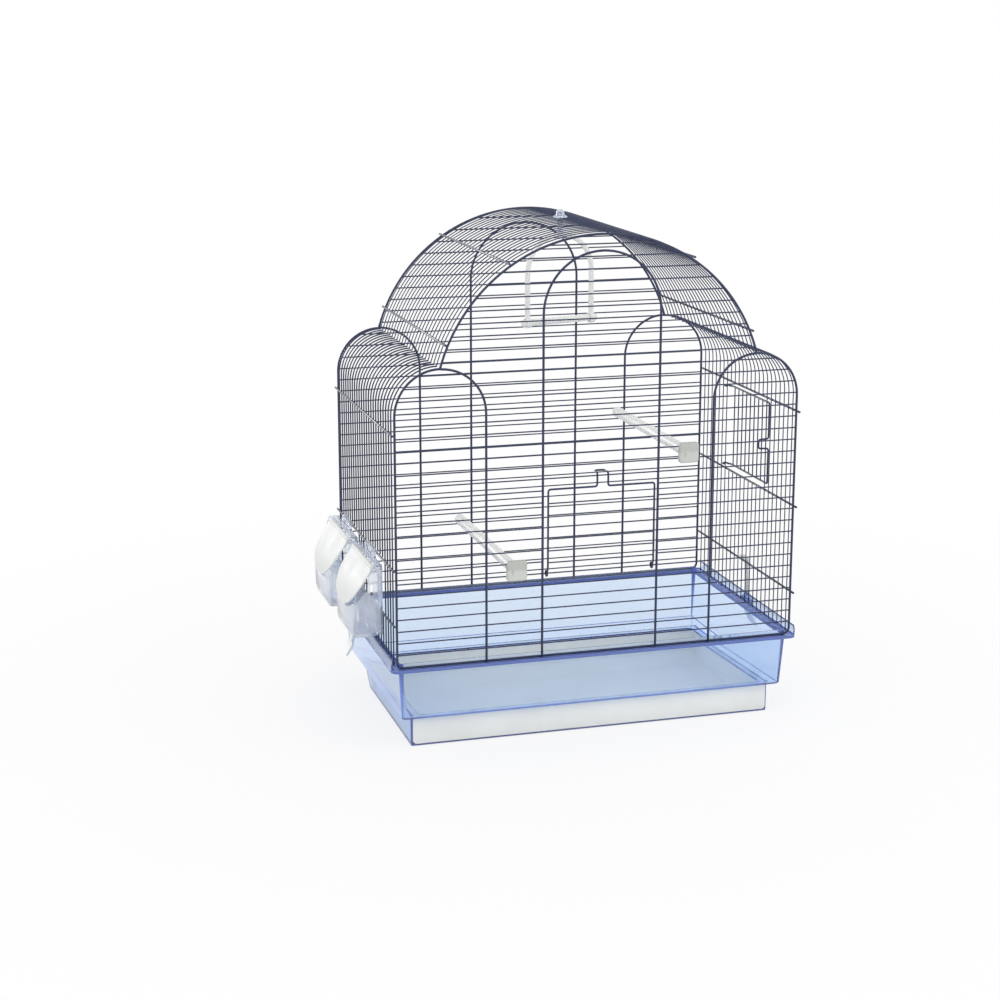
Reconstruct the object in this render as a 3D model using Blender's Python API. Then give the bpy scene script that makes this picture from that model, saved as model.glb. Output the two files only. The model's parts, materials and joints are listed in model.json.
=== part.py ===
"""Bird cage with an arched wire body on a translucent tray base.

Units are metres, +Z up. The origin is on the floor under the middle of the base.
-Y is the front with the drop-down door, -X is the wall with the two feeders.
"""

import math

import bmesh
import bpy
from mathutils import Vector

# Overall sizes
CAGE_WIDTH = 0.440  # left frame wire to right frame wire, centre to centre
CAGE_DEPTH = 0.274  # front frame wire to back frame wire, centre to centre
BASE_HEIGHT = 0.093  # floor to the bottom wire of the wire body
SHOULDER_HEIGHT = 0.265  # bottom wire to the springing of the side arches
SIDE_ARCH_RADIUS = 0.0478
CENTRE_ARCH_RADIUS = 0.0635
CENTRE_ARCH_SPRING = 0.3632  # bottom wire to the springing of the centre arch
ROOF_RISE = 0.1306  # side arch top to roof top

# Wires
FRAME_WIRE = 0.00135  # radius of frame, leg and arch wires
GRILLE_WIRE = 0.0011  # corner radius of the three-sided grille wires
DEPTH_WIRE = 0.00125  # radius of the long wires that tie the side wires together
DEPTH_END = 0.0030  # the long wires end this far past the panels
DOOR_WIRE = 0.0011
FIRST_ROW = 0.01386  # bottom wire to the first cross wire
ROW_PITCH = 0.012716  # cross wires of the front and back panels
TOP_ROW_CLEARANCE = 0.008  # the last cross wire stays this far under the roof top
SIDE_WIRE_COUNT = 23  # wires that wrap over the cage between front and back
ROOF_HALF_STEP = 5.6  # half the angle of each straight in the roof arch
ROOF_CLEARANCE = 0.0006  # roof wires to the ends of the wall wires in the valley
WELD = 0.0004  # depth to which crossing wires melt into one another
GAP = 0.0003  # clearance between pieces that touch
BOTTOM_CORNER = 0.007

# Long wires on the walls, as heights above the bottom wire, and on the roof
LEFT_DEPTH_HEIGHTS = (0.0460, 0.1050, 0.2467)
RIGHT_DEPTH_HEIGHTS = (0.0460, 0.1422, 0.2467)
ROOF_DEPTH_FOOT = 0.0242036  # along the roof arch from its foot to the outer long wire

# Front door, hung on one cross wire and latched on another
DOOR_HINGE_ROW = 7
DOOR_LATCH_ROW = 15
DOOR_HALF_WIDTH = 0.0585
DOOR_OFFSET = 0.0050  # door plane in front of the panel plane
EYE_RADIUS = 0.00275
CATCH_REACH = 0.0070  # latch loops end this far inside the wires

# Side door in the right wall, counted in side wires from the front
SIDE_DOOR_FRONT_WIRE = 7
SIDE_DOOR_HINGE_WIRE = 17
SIDE_DOOR_MARGIN = 0.0063  # door frame to the long wires above and below

# Base tray
RIM_OVERHANG = 0.0070
RIM_CORNER = 0.008
SIDE_LIP_HEIGHT = 0.0095  # raised lips of the rim along the left and right walls
TRAY_DEPTH = 0.0595  # bottom wire to the tray floor's underside
TRAY_TAPER = 0.0055
TRAY_WALL = 0.0022
LEDGE_SIDE = 0.0210
LEDGE_FRONT = 0.0120
LEDGE_BACK = 0.0480
HOUSING_INSET = 0.0175  # drawer housing inside the wire line, left and right
HOUSING_FRONT = 0.0160
HOUSING_BACK = 0.0440
HOUSING_WALL = 0.0022
HOUSING_SLOPE = 0.0210  # length of the sloped part of the housing floor at the back
HOUSING_SLOPE_RISE = 0.0160

# Drawer
DRAWER_WALL = 0.0018
DRAWER_FRONT_THICKNESS = 0.0028
DRAWER_PLAY = 0.0008

# Perches: side position, row of the cross wire under each
PERCH_RADIUS = 0.0060
PERCH_PLACES = (("perch_low", -0.0920, 7), ("perch_high", 0.0967, 16))
PERCH_CAP = 0.0218
PERCH_CAP_THICKNESS = 0.0055
PERCH_CAP_FACE = 0.0012
PERCH_STUD = 0.0036

# Swing, hung in the gap between side wires 12 and 13
SWING_WIRE = 12
SWING_TURN = 13.6  # degrees about the vertical
SWING_HALF_WIDTH = 0.0405
SWING_DROP = 0.0935  # bow top to rod centre
SWING_TOP = 0.0160  # roof top to bow top
BOW_RADIUS = 0.0029
ROD_RADIUS = 0.0038
ROD_HALF_LENGTH = 0.0475
KNOB_RADIUS = 0.0045
KNOB_FLANGE = 0.0078  # wider than the gap between two side wires

# Feeders on the left wall: distance of the front one's centre behind the front panel
# Heights are above the bottom wire, reaches are from the plate's face on the wires.
FEEDER_FRONT_PLACE = 0.0950
FEEDER_WIDTH = 0.1020
FEEDER_WINDOW = 0.0740
PLATE_THICKNESS = 0.0022
PLATE_BOTTOM = 0.0240
PLATE_TOP = 0.1000
SHELF_REACH = 0.0068
SHELF_THICKNESS = 0.0014
CHEEK_THICKNESS = 0.0018
CHEEK_REACH = 0.0170
SLOT_WIDTH = 0.0034
SLOT_HEIGHT = 0.0125
SLOT_MIDDLE = 0.0740
HOOK_WIDTH = 0.0440
HOOK_POST = 0.0100
CUP_BOTTOM = 0.0170
CUP_FRONT_TOP = 0.0460  # middle of the front edge
CUP_CORNER_TOP = 0.0575
CUP_END_TOP = 0.0710
CUP_BACK_TOP = 0.0490
CUP_REACH = 0.0280
CUP_CREST = 0.0140  # where the end walls are highest, outside the cup's back
CUP_SHOULDER = 0.0060  # the back edge is level this far out, so that it passes under the hood
CUP_WALL = 0.0016
CUP_SIDE_GAP = 0.0027
CUP_FLANGE = 0.0020
CUP_FLANGE_HEIGHT = 0.0400
HOOD_REACH = 0.0351
HOOD_LIP = 0.0500
HOOD_BELLY = (0.0305, 0.0710)  # reach and height towards which the hood bulges
HOOD_CROWN = 0.0018
HOOD_WALL = 0.0016
HOOD_PIN = 0.0015
HOOD_BARREL = 0.0028
HOOD_AXIS_HEIGHT = 0.0952
HOOD_AXIS_OUT = 0.0085

# Side clips. The left one stands in the space between the two feeders.
CLIP_RIGHT_PLACE = 0.0030  # behind the middle of the right wall
CLIP_WIDTH = 0.0150
CLIP_ROOM = 0.00125  # from each side of the left clip to the feeder beside it
CLIP_WINDOW = 0.0060
CLIP_STEM = 0.0100
CLIP_TAB = 0.0200
CLIP_PIN = 0.0015
CLIP_AXIS_OUT = 0.0112  # outside the wire line
CLIP_AXIS_HEIGHT = -0.0030
CLIP_SIDE_GAP = 0.0005
EAR_THICKNESS = 0.0040

# Derived
HALF_WIDTH = CAGE_WIDTH / 2
FRONT = -CAGE_DEPTH / 2
BACK = CAGE_DEPTH / 2
FOOT = BASE_HEIGHT
SIDE_ARCH_X = HALF_WIDTH - SIDE_ARCH_RADIUS
SIDE_ARCH_TOP = SHOULDER_HEIGHT + SIDE_ARCH_RADIUS
ROOF_RADIUS = (SIDE_ARCH_X**2 + ROOF_RISE**2) / (2 * ROOF_RISE)
ROOF_TOP = SIDE_ARCH_TOP + ROOF_RISE
ROOF_CENTRE = ROOF_TOP - ROOF_RADIUS
SIDE_PITCH = CAGE_DEPTH / (SIDE_WIRE_COUNT + 1)
DEPTH_OFFSET = FRAME_WIRE + DEPTH_WIRE + GAP + 0.00005
WRAP_OFFSET = DEPTH_OFFSET - DEPTH_WIRE - GRILLE_WIRE + WELD
LEG_OFFSET = FRAME_WIRE + GRILLE_WIRE - WELD
ROOF_REACH = math.degrees(math.asin(SIDE_ARCH_X / ROOF_RADIUS))
ROOF_DEPTH_OUTER = ROOF_REACH - math.degrees(ROOF_DEPTH_FOOT / ROOF_RADIUS)
ROOF_DEPTH_ANGLES = (ROOF_DEPTH_OUTER / 2, ROOF_DEPTH_OUTER)  # down from the roof top
FEEDER_REAR_PLACE = FEEDER_FRONT_PLACE + FEEDER_WIDTH + CLIP_WIDTH + 2 * CLIP_ROOM
FEEDER_PLACES = (("feeder_front", FEEDER_FRONT_PLACE), ("feeder_rear", FEEDER_REAR_PLACE))
CLIP_LEFT_PLACE = FRONT + (FEEDER_FRONT_PLACE + FEEDER_REAR_PLACE) / 2
CLIP_PLACES = (("clip_left", -1, CLIP_LEFT_PLACE), ("clip_right", 1, CLIP_RIGHT_PLACE))
SWING_DIRECTION = Vector((math.cos(math.radians(SWING_TURN)), math.sin(math.radians(SWING_TURN)), 0))

COLOURS = {
    "navy_wire": ((0.024, 0.030, 0.060, 1), 0.35, 0.0),
    "blue_tray": ((0.28, 0.45, 0.80, 1), 0.15, 0.0),
    "white_plastic": ((0.84, 0.84, 0.81, 1), 0.35, 0.0),
    "perch_cap": ((0.60, 0.62, 0.56, 1), 0.45, 0.0),
    "opal_plastic": ((0.88, 0.89, 0.87, 1), 0.25, 0.0),
    "clear_plastic": ((0.78, 0.80, 0.86, 1), 0.10, 0.0),
}


def clear_scene():
    for obj in list(bpy.data.objects):
        bpy.data.objects.remove(obj)


def material(name):
    found = bpy.data.materials.get(name)
    if found:
        return found
    colour, roughness, metallic = COLOURS[name]
    made = bpy.data.materials.new(name)
    made.use_nodes = True
    shader = made.node_tree.nodes["Principled BSDF"]
    shader.inputs["Base Color"].default_value = colour
    shader.inputs["Roughness"].default_value = roughness
    shader.inputs["Metallic"].default_value = metallic
    made.diffuse_color = colour
    return made


def make_object(name, bm, colour, origin=(0, 0, 0), hidden=False):
    """Object from a bmesh in world coordinates, with its origin moved to a point."""
    origin = Vector(origin)
    bmesh.ops.recalc_face_normals(bm, faces=bm.faces)
    bmesh.ops.translate(bm, vec=-origin, verts=bm.verts)
    mesh = bpy.data.meshes.new(name)
    bm.to_mesh(mesh)
    bm.free()
    mesh.shade_smooth()
    mesh.set_sharp_from_angle(angle=math.radians(35))
    mesh.materials.append(material(colour))
    obj = bpy.data.objects.new(name, mesh)
    obj.location = origin
    bpy.context.scene.collection.objects.link(obj)
    if hidden:
        obj.hide_render = True
        obj.display_type = "WIRE"
    return obj


def combine(target, other, operation="UNION"):
    """Adds a Boolean of a helper object, which follows the target."""
    other.parent = target
    other.matrix_parent_inverse = target.matrix_basis.inverted()
    modifier = target.modifiers.new(operation.title(), "BOOLEAN")
    modifier.operation = operation
    modifier.solver = "EXACT"
    modifier.object = other
    return target


def helper(target, bm, operation="UNION"):
    name = f"{target.name}_{operation.lower()}_{len(target.modifiers) + 1}"
    return combine(target, make_object(name, bm, target.data.materials[0].name, hidden=True), operation)


def tube(bm, path, side, radius, sides=6, turn=0.0, closed=False):
    """Sweeps a polygon along a path with mitred bends. The first corner faces along side."""
    points = [Vector(p) for p in path]
    count = len(points)
    last = count if closed else count - 1
    runs = [(points[(i + 1) % count] - points[i]).normalized() for i in range(last)]
    across = Vector(side)
    rings = []
    for i, point in enumerate(points):
        before = runs[i - 1] if closed or i else runs[0]
        after = runs[i] if i < len(runs) else runs[-1]
        across = (across - across.dot(before) * before).normalized()
        other = before.cross(across)
        middle = (before + after).normalized()
        ring = []
        for k in range(sides):
            angle = 2 * math.pi * k / sides + turn
            offset = radius * (math.cos(angle) * across + math.sin(angle) * other)
            offset -= before * (offset.dot(middle) / before.dot(middle))
            ring.append(bm.verts.new(point + offset))
        rings.append(ring)
        across = before.rotation_difference(after) @ across
    bridge(bm, rings, closed)


def bridge(bm, rings, closed=False):
    """Skins a stack of equal rings, and caps the first and last unless the stack is closed."""
    count = len(rings[0])
    pairs = list(zip(rings, rings[1:]))
    if closed:
        pairs.append((rings[-1], rings[0]))
    for lower, upper in pairs:
        for k in range(count):
            n = (k + 1) % count
            bm.faces.new((lower[k], lower[n], upper[n], upper[k]))
    if not closed:
        bm.faces.new(rings[0])
        bm.faces.new(rings[-1])


def loft(bm, outlines, closed=False):
    bridge(bm, [[bm.verts.new(p) for p in outline] for outline in outlines], closed)


def rounded_rectangle(half_x, half_y, radius, z, centre=(0.0, 0.0), steps=3):
    points = []
    for sx, sy, start in ((1, 1, 0), (-1, 1, 90), (-1, -1, 180), (1, -1, 270)):
        cx = centre[0] + sx * (half_x - radius)
        cy = centre[1] + sy * (half_y - radius)
        for k in range(steps + 1):
            angle = math.radians(start + 90 * k / steps)
            points.append((cx + radius * math.cos(angle), cy + radius * math.sin(angle), z))
    return points


def circle(centre, axis, across, radius, sides=12):
    centre, axis, across = Vector(centre), Vector(axis).normalized(), Vector(across).normalized()
    other = axis.cross(across)
    angles = [2 * math.pi * k / sides for k in range(sides)]
    return [centre + radius * (math.cos(a) * across + math.sin(a) * other) for a in angles]


def turned(bm, centre, axis, across, profile, sides=12, closed=False):
    """Round piece from (distance along the axis, radius) pairs."""
    axis = Vector(axis).normalized()
    loft(bm, [circle(Vector(centre) + axis * d, axis, across, r, sides) for d, r in profile], closed)


def box(bm, low, high):
    (x0, y0, z0), (x1, y1, z1) = low, high
    corners = ((x0, y0), (x1, y0), (x1, y1), (x0, y1))
    loft(bm, [[(x, y, z) for x, y in corners] for z in (z0, z1)])


def extruded(bm, outline, y0, y1):
    """Prism along Y from an outline of (x, z) pairs."""
    loft(bm, [[(x, y, z) for x, z in outline] for y in (y0, y1)])


def arc(centre, radius, start, end, steps):
    """Points of an arc in the XZ plane, angles in degrees from +X towards +Z."""
    angles = [math.radians(start + (end - start) * k / steps) for k in range(steps + 1)]
    return [(centre[0] + radius * math.cos(a), centre[1] + radius * math.sin(a)) for a in angles]


def row_height(row):
    return FOOT + FIRST_ROW + (row - 1) * ROW_PITCH


def side_wire_y(number):
    return FRONT + number * SIDE_PITCH


def outline_half_width(z):
    """Half the width of the front panel's outline at a height."""
    height = z - FOOT
    if height <= SHOULDER_HEIGHT:
        return HALF_WIDTH
    if height <= SIDE_ARCH_TOP:
        return SIDE_ARCH_X + math.sqrt(SIDE_ARCH_RADIUS**2 - (height - SHOULDER_HEIGHT) ** 2)
    return math.sqrt(ROOF_RADIUS**2 - (height - ROOF_CENTRE) ** 2)


def outline_path():
    """Closed outline of a panel: bottom, side, side arch, roof arch and back down."""
    shoulder = FOOT + SHOULDER_HEIGHT
    low = FOOT + BOTTOM_CORNER
    inner = HALF_WIDTH - BOTTOM_CORNER
    half = arc((inner, low), BOTTOM_CORNER, -90, 0, 3)
    half += arc((SIDE_ARCH_X, shoulder), SIDE_ARCH_RADIUS, 0, 90, 4)
    left = [(-x, z) for x, z in reversed(half)]
    return half + roof_path(0)[1:-1] + left


def cross_wires(bm, y, opening):
    """Cross wires from side to side. Rows inside the opening stop at its two legs."""
    row = 1
    while row_height(row) < FOOT + ROOF_TOP - TOP_ROW_CLEARANCE:
        z = row_height(row)
        reach = outline_half_width(z)
        spans = [(-reach, reach)]
        if opening and opening[0] < row < opening[1]:
            spans = [(-reach, -CENTRE_ARCH_RADIUS), (CENTRE_ARCH_RADIUS, reach)]
        for start, end in spans:
            tube(bm, [(start, y, z), (end, y, z)], (0, math.copysign(1, y), 0), GRILLE_WIRE, 3)
        row += 1


def legs_and_arches(bm, y):
    """Upright wires of the panel: two side arch legs and the tall centre arch."""
    foot = FOOT - FRAME_WIRE * 0.9
    shoulder = FOOT + SHOULDER_HEIGHT
    for sign in (-1, 1):
        inner = SIDE_ARCH_X - SIDE_ARCH_RADIUS
        points = [(inner, foot)] + arc((SIDE_ARCH_X, shoulder), SIDE_ARCH_RADIUS, 180, 90, 4)
        tube(bm, [(sign * x, y, z) for x, z in points], (0, 1, 0), FRAME_WIRE)
    top = arc((0, FOOT + CENTRE_ARCH_SPRING), CENTRE_ARCH_RADIUS, 0, 180, 10)
    points = [(CENTRE_ARCH_RADIUS, foot)] + top + [(-CENTRE_ARCH_RADIUS, foot)]
    tube(bm, [(x, y, z) for x, z in points], (0, 1, 0), FRAME_WIRE)


def panel(name, y, opening=None):
    """Flat welded grille: outline and cross wires in one plane, legs and arches outside it."""
    bm = bmesh.new()
    tube(bm, [(x, y, z) for x, z in outline_path()], (0, 1, 0), FRAME_WIRE, closed=True)
    obj = make_object(name, bm, "navy_wire")
    bm = bmesh.new()
    cross_wires(bm, y, opening)
    helper(obj, bm)
    bm = bmesh.new()
    legs_and_arches(bm, y + math.copysign(LEG_OFFSET, y))
    return helper(obj, bm)


def depth_wire(bm, point, outward):
    """Long wire from front to back outside the outline, its ends just past both panels."""
    out = Vector((outward[0], 0, outward[1])).normalized()
    line = Vector((point[0], 0, point[1])) + out * DEPTH_OFFSET
    reach = Vector((0, BACK + DEPTH_END, 0))
    tube(bm, [line - reach, line + reach], out, DEPTH_WIRE, 4)


def wall_spans(height_pairs, top):
    """Height spans that are left of a wall wire when the given windows are cut out."""
    spans = []
    start = FOOT - GRILLE_WIRE
    for low, high in sorted(height_pairs):
        spans.append((start, low + DEPTH_WIRE))
        start = high - DEPTH_WIRE
    return spans + [(start, top)]


def side_wall(name, sign, depth_heights, windows):
    """Side grille with its quarter arch. windows maps a side wire number to cut heights."""
    shoulder = FOOT + SHOULDER_HEIGHT
    x = HALF_WIDTH + WRAP_OFFSET
    top = arc((SIDE_ARCH_X, shoulder), SIDE_ARCH_RADIUS + WRAP_OFFSET, 0, 90, 4)
    top[-1] = (SIDE_ARCH_X + ROOF_CLEARANCE, top[-1][1])
    bm = bmesh.new()
    for number in range(1, SIDE_WIRE_COUNT + 1):
        y = side_wire_y(number)
        spans = wall_spans(windows.get(number, ()), shoulder)
        for start, end in spans[:-1]:
            tube(bm, [(sign * x, y, start), (sign * x, y, end)], (sign, 0, 0), GRILLE_WIRE, 3)
        path = [(x, spans[-1][0])] + top
        tube(bm, [(sign * px, y, pz) for px, pz in path], (sign, 0, 0), GRILLE_WIRE, 3)
    obj = make_object(name, bm, "navy_wire")
    bm = bmesh.new()
    for height in depth_heights:
        depth_wire(bm, (sign * HALF_WIDTH, FOOT + height), (sign, 0))
    return helper(obj, bm)


def roof_angles():
    """Bends of the roof arch from the vertical. Long wires cross the middle of a straight."""
    inner, outer = ROOF_DEPTH_ANGLES
    low, high = 2 * outer - ROOF_REACH, inner + ROOF_HALF_STEP
    flank = [ROOF_REACH, low, (low + high) / 2, high]
    start = inner - ROOF_HALF_STEP
    crown = [start - 2 * start * k / 5 for k in range(6)]
    return flank + crown + [-angle for angle in reversed(flank)]


def roof_path(offset):
    """Points of the roof arch moved outwards, from the +X valley to the -X valley."""
    points = []
    for angle in roof_angles():
        radius = ROOF_RADIUS + offset
        turn = math.radians(angle)
        points.append((radius * math.sin(turn), FOOT + ROOF_CENTRE + radius * math.cos(turn)))
    return points


def crown_height(offset):
    """Height of the flat middle of the roof arch, moved outwards."""
    crown = max(angle for angle in roof_angles() if angle < ROOF_DEPTH_ANGLES[0] / 4)
    return FOOT + ROOF_CENTRE + (ROOF_RADIUS + offset) * math.cos(math.radians(crown))


def roof():
    """Arched grille over the top, from valley to valley."""
    path = roof_path(WRAP_OFFSET)
    lift = WRAP_OFFSET + GRILLE_WIRE + ROOF_CLEARANCE
    share = (FOOT + SIDE_ARCH_TOP + lift - path[0][1]) / (path[1][1] - path[0][1])
    foot = tuple(a + (b - a) * share for a, b in zip(path[0], path[1]))
    path = [foot] + path[1:-1] + [(-foot[0], foot[1])]
    bm = bmesh.new()
    for number in range(1, SIDE_WIRE_COUNT + 1):
        y = side_wire_y(number)
        tube(bm, [(x, y, z) for x, z in path], (1, 0, 0.1), GRILLE_WIRE, 3)
    obj = make_object("roof_arch", bm, "navy_wire")
    bm = bmesh.new()
    angles = roof_angles()
    for angle, half in zip(ROOF_DEPTH_ANGLES, (ROOF_HALF_STEP, (angles[0] - angles[1]) / 2)):
        for sign in (-1, 1):
            out = (sign * math.sin(math.radians(angle)), math.cos(math.radians(angle)))
            line = ROOF_RADIUS * math.cos(math.radians(half))
            depth_wire(bm, (line * out[0], FOOT + ROOF_CENTRE + line * out[1]), out)
    return helper(obj, bm)


def eye(centre, away, along, start=-30, end=250, steps=7):
    """Open loop round a hinge wire, in the plane of away and along."""
    away, along = Vector(away), Vector(along)
    points = []
    for k in range(steps + 1):
        angle = math.radians(start + (end - start) * k / steps)
        points.append(Vector(centre) + EYE_RADIUS * (math.cos(angle) * away - math.sin(angle) * along))
    return points


def front_door():
    """Wire door that drops forward about a cross wire, with a latch loop over another."""
    hinge = row_height(DOOR_HINGE_ROW)
    latch = row_height(DOOR_LATCH_ROW)
    y = FRONT - DOOR_OFFSET
    top = latch - 0.0105
    corner = 0.0035
    half = []
    loop = Vector((DOOR_HALF_WIDTH, FRONT, hinge))
    half += reversed(eye(loop, (0, -1, 0), (0, 0, 1)))
    half += [Vector((DOOR_HALF_WIDTH, y, hinge + 0.0065))]
    half += [Vector((DOOR_HALF_WIDTH, y, top - corner)), Vector((DOOR_HALF_WIDTH - corner, y, top))]
    loop_left, loop_right = -0.0030, 0.0090
    crest = latch + 0.0052
    left = [Vector((-p.x, p.y, p.z)) for p in half]
    catch = [
        (loop_left, y, top),
        (loop_left, y, crest - 0.003),
        (loop_left + 0.001, y + 0.003, crest),
        (loop_left + 0.001, FRONT + CATCH_REACH, crest),
        (loop_right - 0.001, FRONT + CATCH_REACH, crest),
        (loop_right - 0.001, y + 0.003, crest),
        (loop_right, y, crest - 0.003),
        (loop_right, y, top),
    ]
    bm = bmesh.new()
    tube(bm, left + [Vector(p) for p in catch] + half[::-1], (1, 0, 0), DOOR_WIRE)
    obj = make_object("front_door", bm, "navy_wire", origin=(0, FRONT, hinge))
    bm = bmesh.new()
    for row in range(DOOR_HINGE_ROW + 1, DOOR_LATCH_ROW - 1):
        z = row_height(row)
        tube(bm, [(-DOOR_HALF_WIDTH, y, z), (DOOR_HALF_WIDTH, y, z)], (0, -1, 0), GRILLE_WIRE * 0.9, 3)
    return helper(obj, bm)


def side_door():
    """Wire door on the right wall, hung on a side wire, its latch loop reaching inwards."""
    low = FOOT + RIGHT_DEPTH_HEIGHTS[1] + SIDE_DOOR_MARGIN
    high = FOOT + RIGHT_DEPTH_HEIGHTS[2] - SIDE_DOOR_MARGIN
    wall = HALF_WIDTH + WRAP_OFFSET
    x = wall + DOOR_OFFSET
    hinge = side_wire_y(SIDE_DOOR_HINGE_WIRE)
    free = side_wire_y(SIDE_DOOR_FRONT_WIRE) + 0.0040
    corner = 0.0030
    middle = (low + high) / 2
    half = []
    for z in (low, high):
        points = eye((wall, hinge, z), (1, 0, 0), (0, -1, 0))[::-1]
        points += [Vector((x, hinge - 0.0065, z)), Vector((x, free + corner, z))]
        points += [Vector((x, free, z + math.copysign(corner, middle - z)))]
        half.append(points)
    catch = [
        (x, free, middle - 0.0055),
        (wall - CATCH_REACH, free, middle - 0.0050),
        (wall - CATCH_REACH, free, middle + 0.0050),
        (x, free, middle + 0.0055),
    ]
    bm = bmesh.new()
    tube(bm, half[0] + [Vector(p) for p in catch] + half[1][::-1], (0, 0, 1), DOOR_WIRE)
    obj = make_object("side_door", bm, "navy_wire", origin=(wall, hinge, middle))
    bm = bmesh.new()
    for number in range(SIDE_DOOR_FRONT_WIRE + 1, SIDE_DOOR_HINGE_WIRE):
        y = side_wire_y(number)
        tube(bm, [(x, y, low), (x, y, high)], (1, 0, 0), GRILLE_WIRE * 0.9, 3)
    return helper(obj, bm)


def base_tray():
    """Moulded tray: channelled rim, tapered walls, inner ledge and the drawer housing."""
    profile = (
        (RIM_OVERHANG, -0.0042),
        (RIM_OVERHANG, -0.0008),
        (RIM_OVERHANG - 0.0016, -0.0008),
        (RIM_OVERHANG - 0.0016, -0.0017),
        (-0.0030, -0.0017),
        (-0.0030, 0.0036),
        (-0.0046, 0.0036),
        (-0.0046, -0.0045),
        (-0.0004 - TRAY_TAPER - TRAY_WALL, -TRAY_DEPTH + 0.0010),
        (-0.0004 - TRAY_TAPER, -TRAY_DEPTH),
        (-0.0026, -0.0040),
        (RIM_OVERHANG - 0.0018, -0.0034),
        (RIM_OVERHANG - 0.0018, -0.0042),
    )
    bm = bmesh.new()
    rings = []
    for out, z in profile:
        radius = max(RIM_CORNER + out - RIM_OVERHANG, 0.003)
        rings.append(rounded_rectangle(HALF_WIDTH + out, BACK + out, radius, FOOT + z))
    loft(bm, rings, closed=True)
    obj = make_object("base_tray", bm, "blue_tray")
    helper(obj, side_lips())
    helper(obj, tray_floor())
    helper(obj, drawer_housing())
    helper(obj, clip_brackets())
    return helper(obj, bracket_bores(), "DIFFERENCE")


def side_lips():
    """Curved lips that stand outside the side wires."""
    outer = HALF_WIDTH + RIM_OVERHANG
    outline = (
        (outer - 0.0003, FOOT - 0.0014),
        (outer - 0.0001, FOOT + 0.0040),
        (outer - 0.0012, FOOT + SIDE_LIP_HEIGHT),
        (outer - 0.0026, FOOT + SIDE_LIP_HEIGHT),
        (outer - 0.0016, FOOT + 0.0036),
        (outer - 0.0020, FOOT - 0.0014),
    )
    bm = bmesh.new()
    for sign in (-1, 1):
        extruded(bm, [(sign * x, z) for x, z in outline], FRONT - 0.0010, BACK + 0.0010)
    return bm


def tray_floor():
    """Ledge round the drawer opening, deepest at the back."""
    top = FOOT - TRAY_DEPTH + 0.0018
    bottom = FOOT - TRAY_DEPTH
    out = TRAY_TAPER + TRAY_WALL * 0.6
    outer_x, outer_y = HALF_WIDTH - out, BACK - out
    hole_x = HALF_WIDTH - TRAY_TAPER - LEDGE_SIDE
    hole_front, hole_back = FRONT + TRAY_TAPER + LEDGE_FRONT, BACK - TRAY_TAPER - LEDGE_BACK
    centre = (0, (hole_front + hole_back) / 2)
    hole_y = (hole_back - hole_front) / 2
    bm = bmesh.new()
    loft(bm, [
        rounded_rectangle(outer_x, outer_y, 0.005, bottom),
        rounded_rectangle(outer_x, outer_y, 0.005, top),
        rounded_rectangle(hole_x, hole_y, 0.006, top, centre),
        rounded_rectangle(hole_x, hole_y, 0.006, bottom, centre),
    ], closed=True)
    return bm


def housing_outline(inset):
    """Side view of the drawer housing as (y, z) pairs. The inset outline runs out at the front."""
    back = BACK - HOUSING_BACK
    slope_start = back - HOUSING_SLOPE
    top = FOOT - TRAY_DEPTH + 0.001
    front = FRONT + HOUSING_FRONT
    if inset:
        front -= 0.02
        top += 0.02
    return (
        (front, inset),
        (slope_start, inset),
        (back - inset, HOUSING_SLOPE_RISE),
        (back - inset, top),
        (front, top),
    )


def drawer_housing():
    """Box under the tray that the drawer slides into."""
    outer = HALF_WIDTH - HOUSING_INSET
    shell = bmesh.new()
    loft(shell, [[(x, y, z) for y, z in housing_outline(0)] for x in (-outer, outer)])
    cavity = bmesh.new()
    inner = outer - HOUSING_WALL
    loft(cavity, [[(x, y, z) for y, z in housing_outline(HOUSING_WALL)] for x in (-inner, inner)])
    return cut_mesh(shell, cavity)


def cut_mesh(body, cutter):
    """Applies a Boolean difference between two bmeshes and returns the result."""
    first = make_object("body", body, "blue_tray")
    second = make_object("cutter", cutter, "blue_tray", hidden=True)
    combine(first, second, "DIFFERENCE")
    graph = bpy.context.evaluated_depsgraph_get()
    result = bmesh.new()
    result.from_mesh(first.evaluated_get(graph).to_mesh())
    bpy.data.objects.remove(second)
    bpy.data.objects.remove(first)
    return result


def clip_brackets():
    """Pair of ears on each side of the rim that hold a clip's pin."""
    bm = bmesh.new()
    for _, sign, y in CLIP_PLACES:
        inner = HALF_WIDTH + RIM_OVERHANG - 0.0012
        outer = HALF_WIDTH + CLIP_AXIS_OUT + 0.0030
        outline = (
            (sign * inner, FOOT - 0.0055),
            (sign * (outer - 0.0030), FOOT - 0.0085),
            (sign * outer, FOOT - 0.0055),
            (sign * outer, FOOT - 0.0005),
            (sign * (outer - 0.0025), FOOT + 0.0020),
            (sign * inner, FOOT - 0.0012),
        )
        near = CLIP_STEM / 2 + CLIP_SIDE_GAP
        extruded(bm, outline, y - near - EAR_THICKNESS, y - near)
        extruded(bm, outline, y + near, y + near + EAR_THICKNESS)
    return bm


def pin_length():
    return CLIP_STEM + 2 * (CLIP_SIDE_GAP + EAR_THICKNESS)


def bracket_bores():
    bm = bmesh.new()
    reach = pin_length() / 2 + 0.002
    for _, sign, y in CLIP_PLACES:
        centre = (sign * (HALF_WIDTH + CLIP_AXIS_OUT), y, FOOT + CLIP_AXIS_HEIGHT)
        turned(bm, centre, (0, 1, 0), (1, 0, 0), [(-reach, CLIP_PIN + GAP), (reach, CLIP_PIN + GAP)], 8)
    return bm


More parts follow.
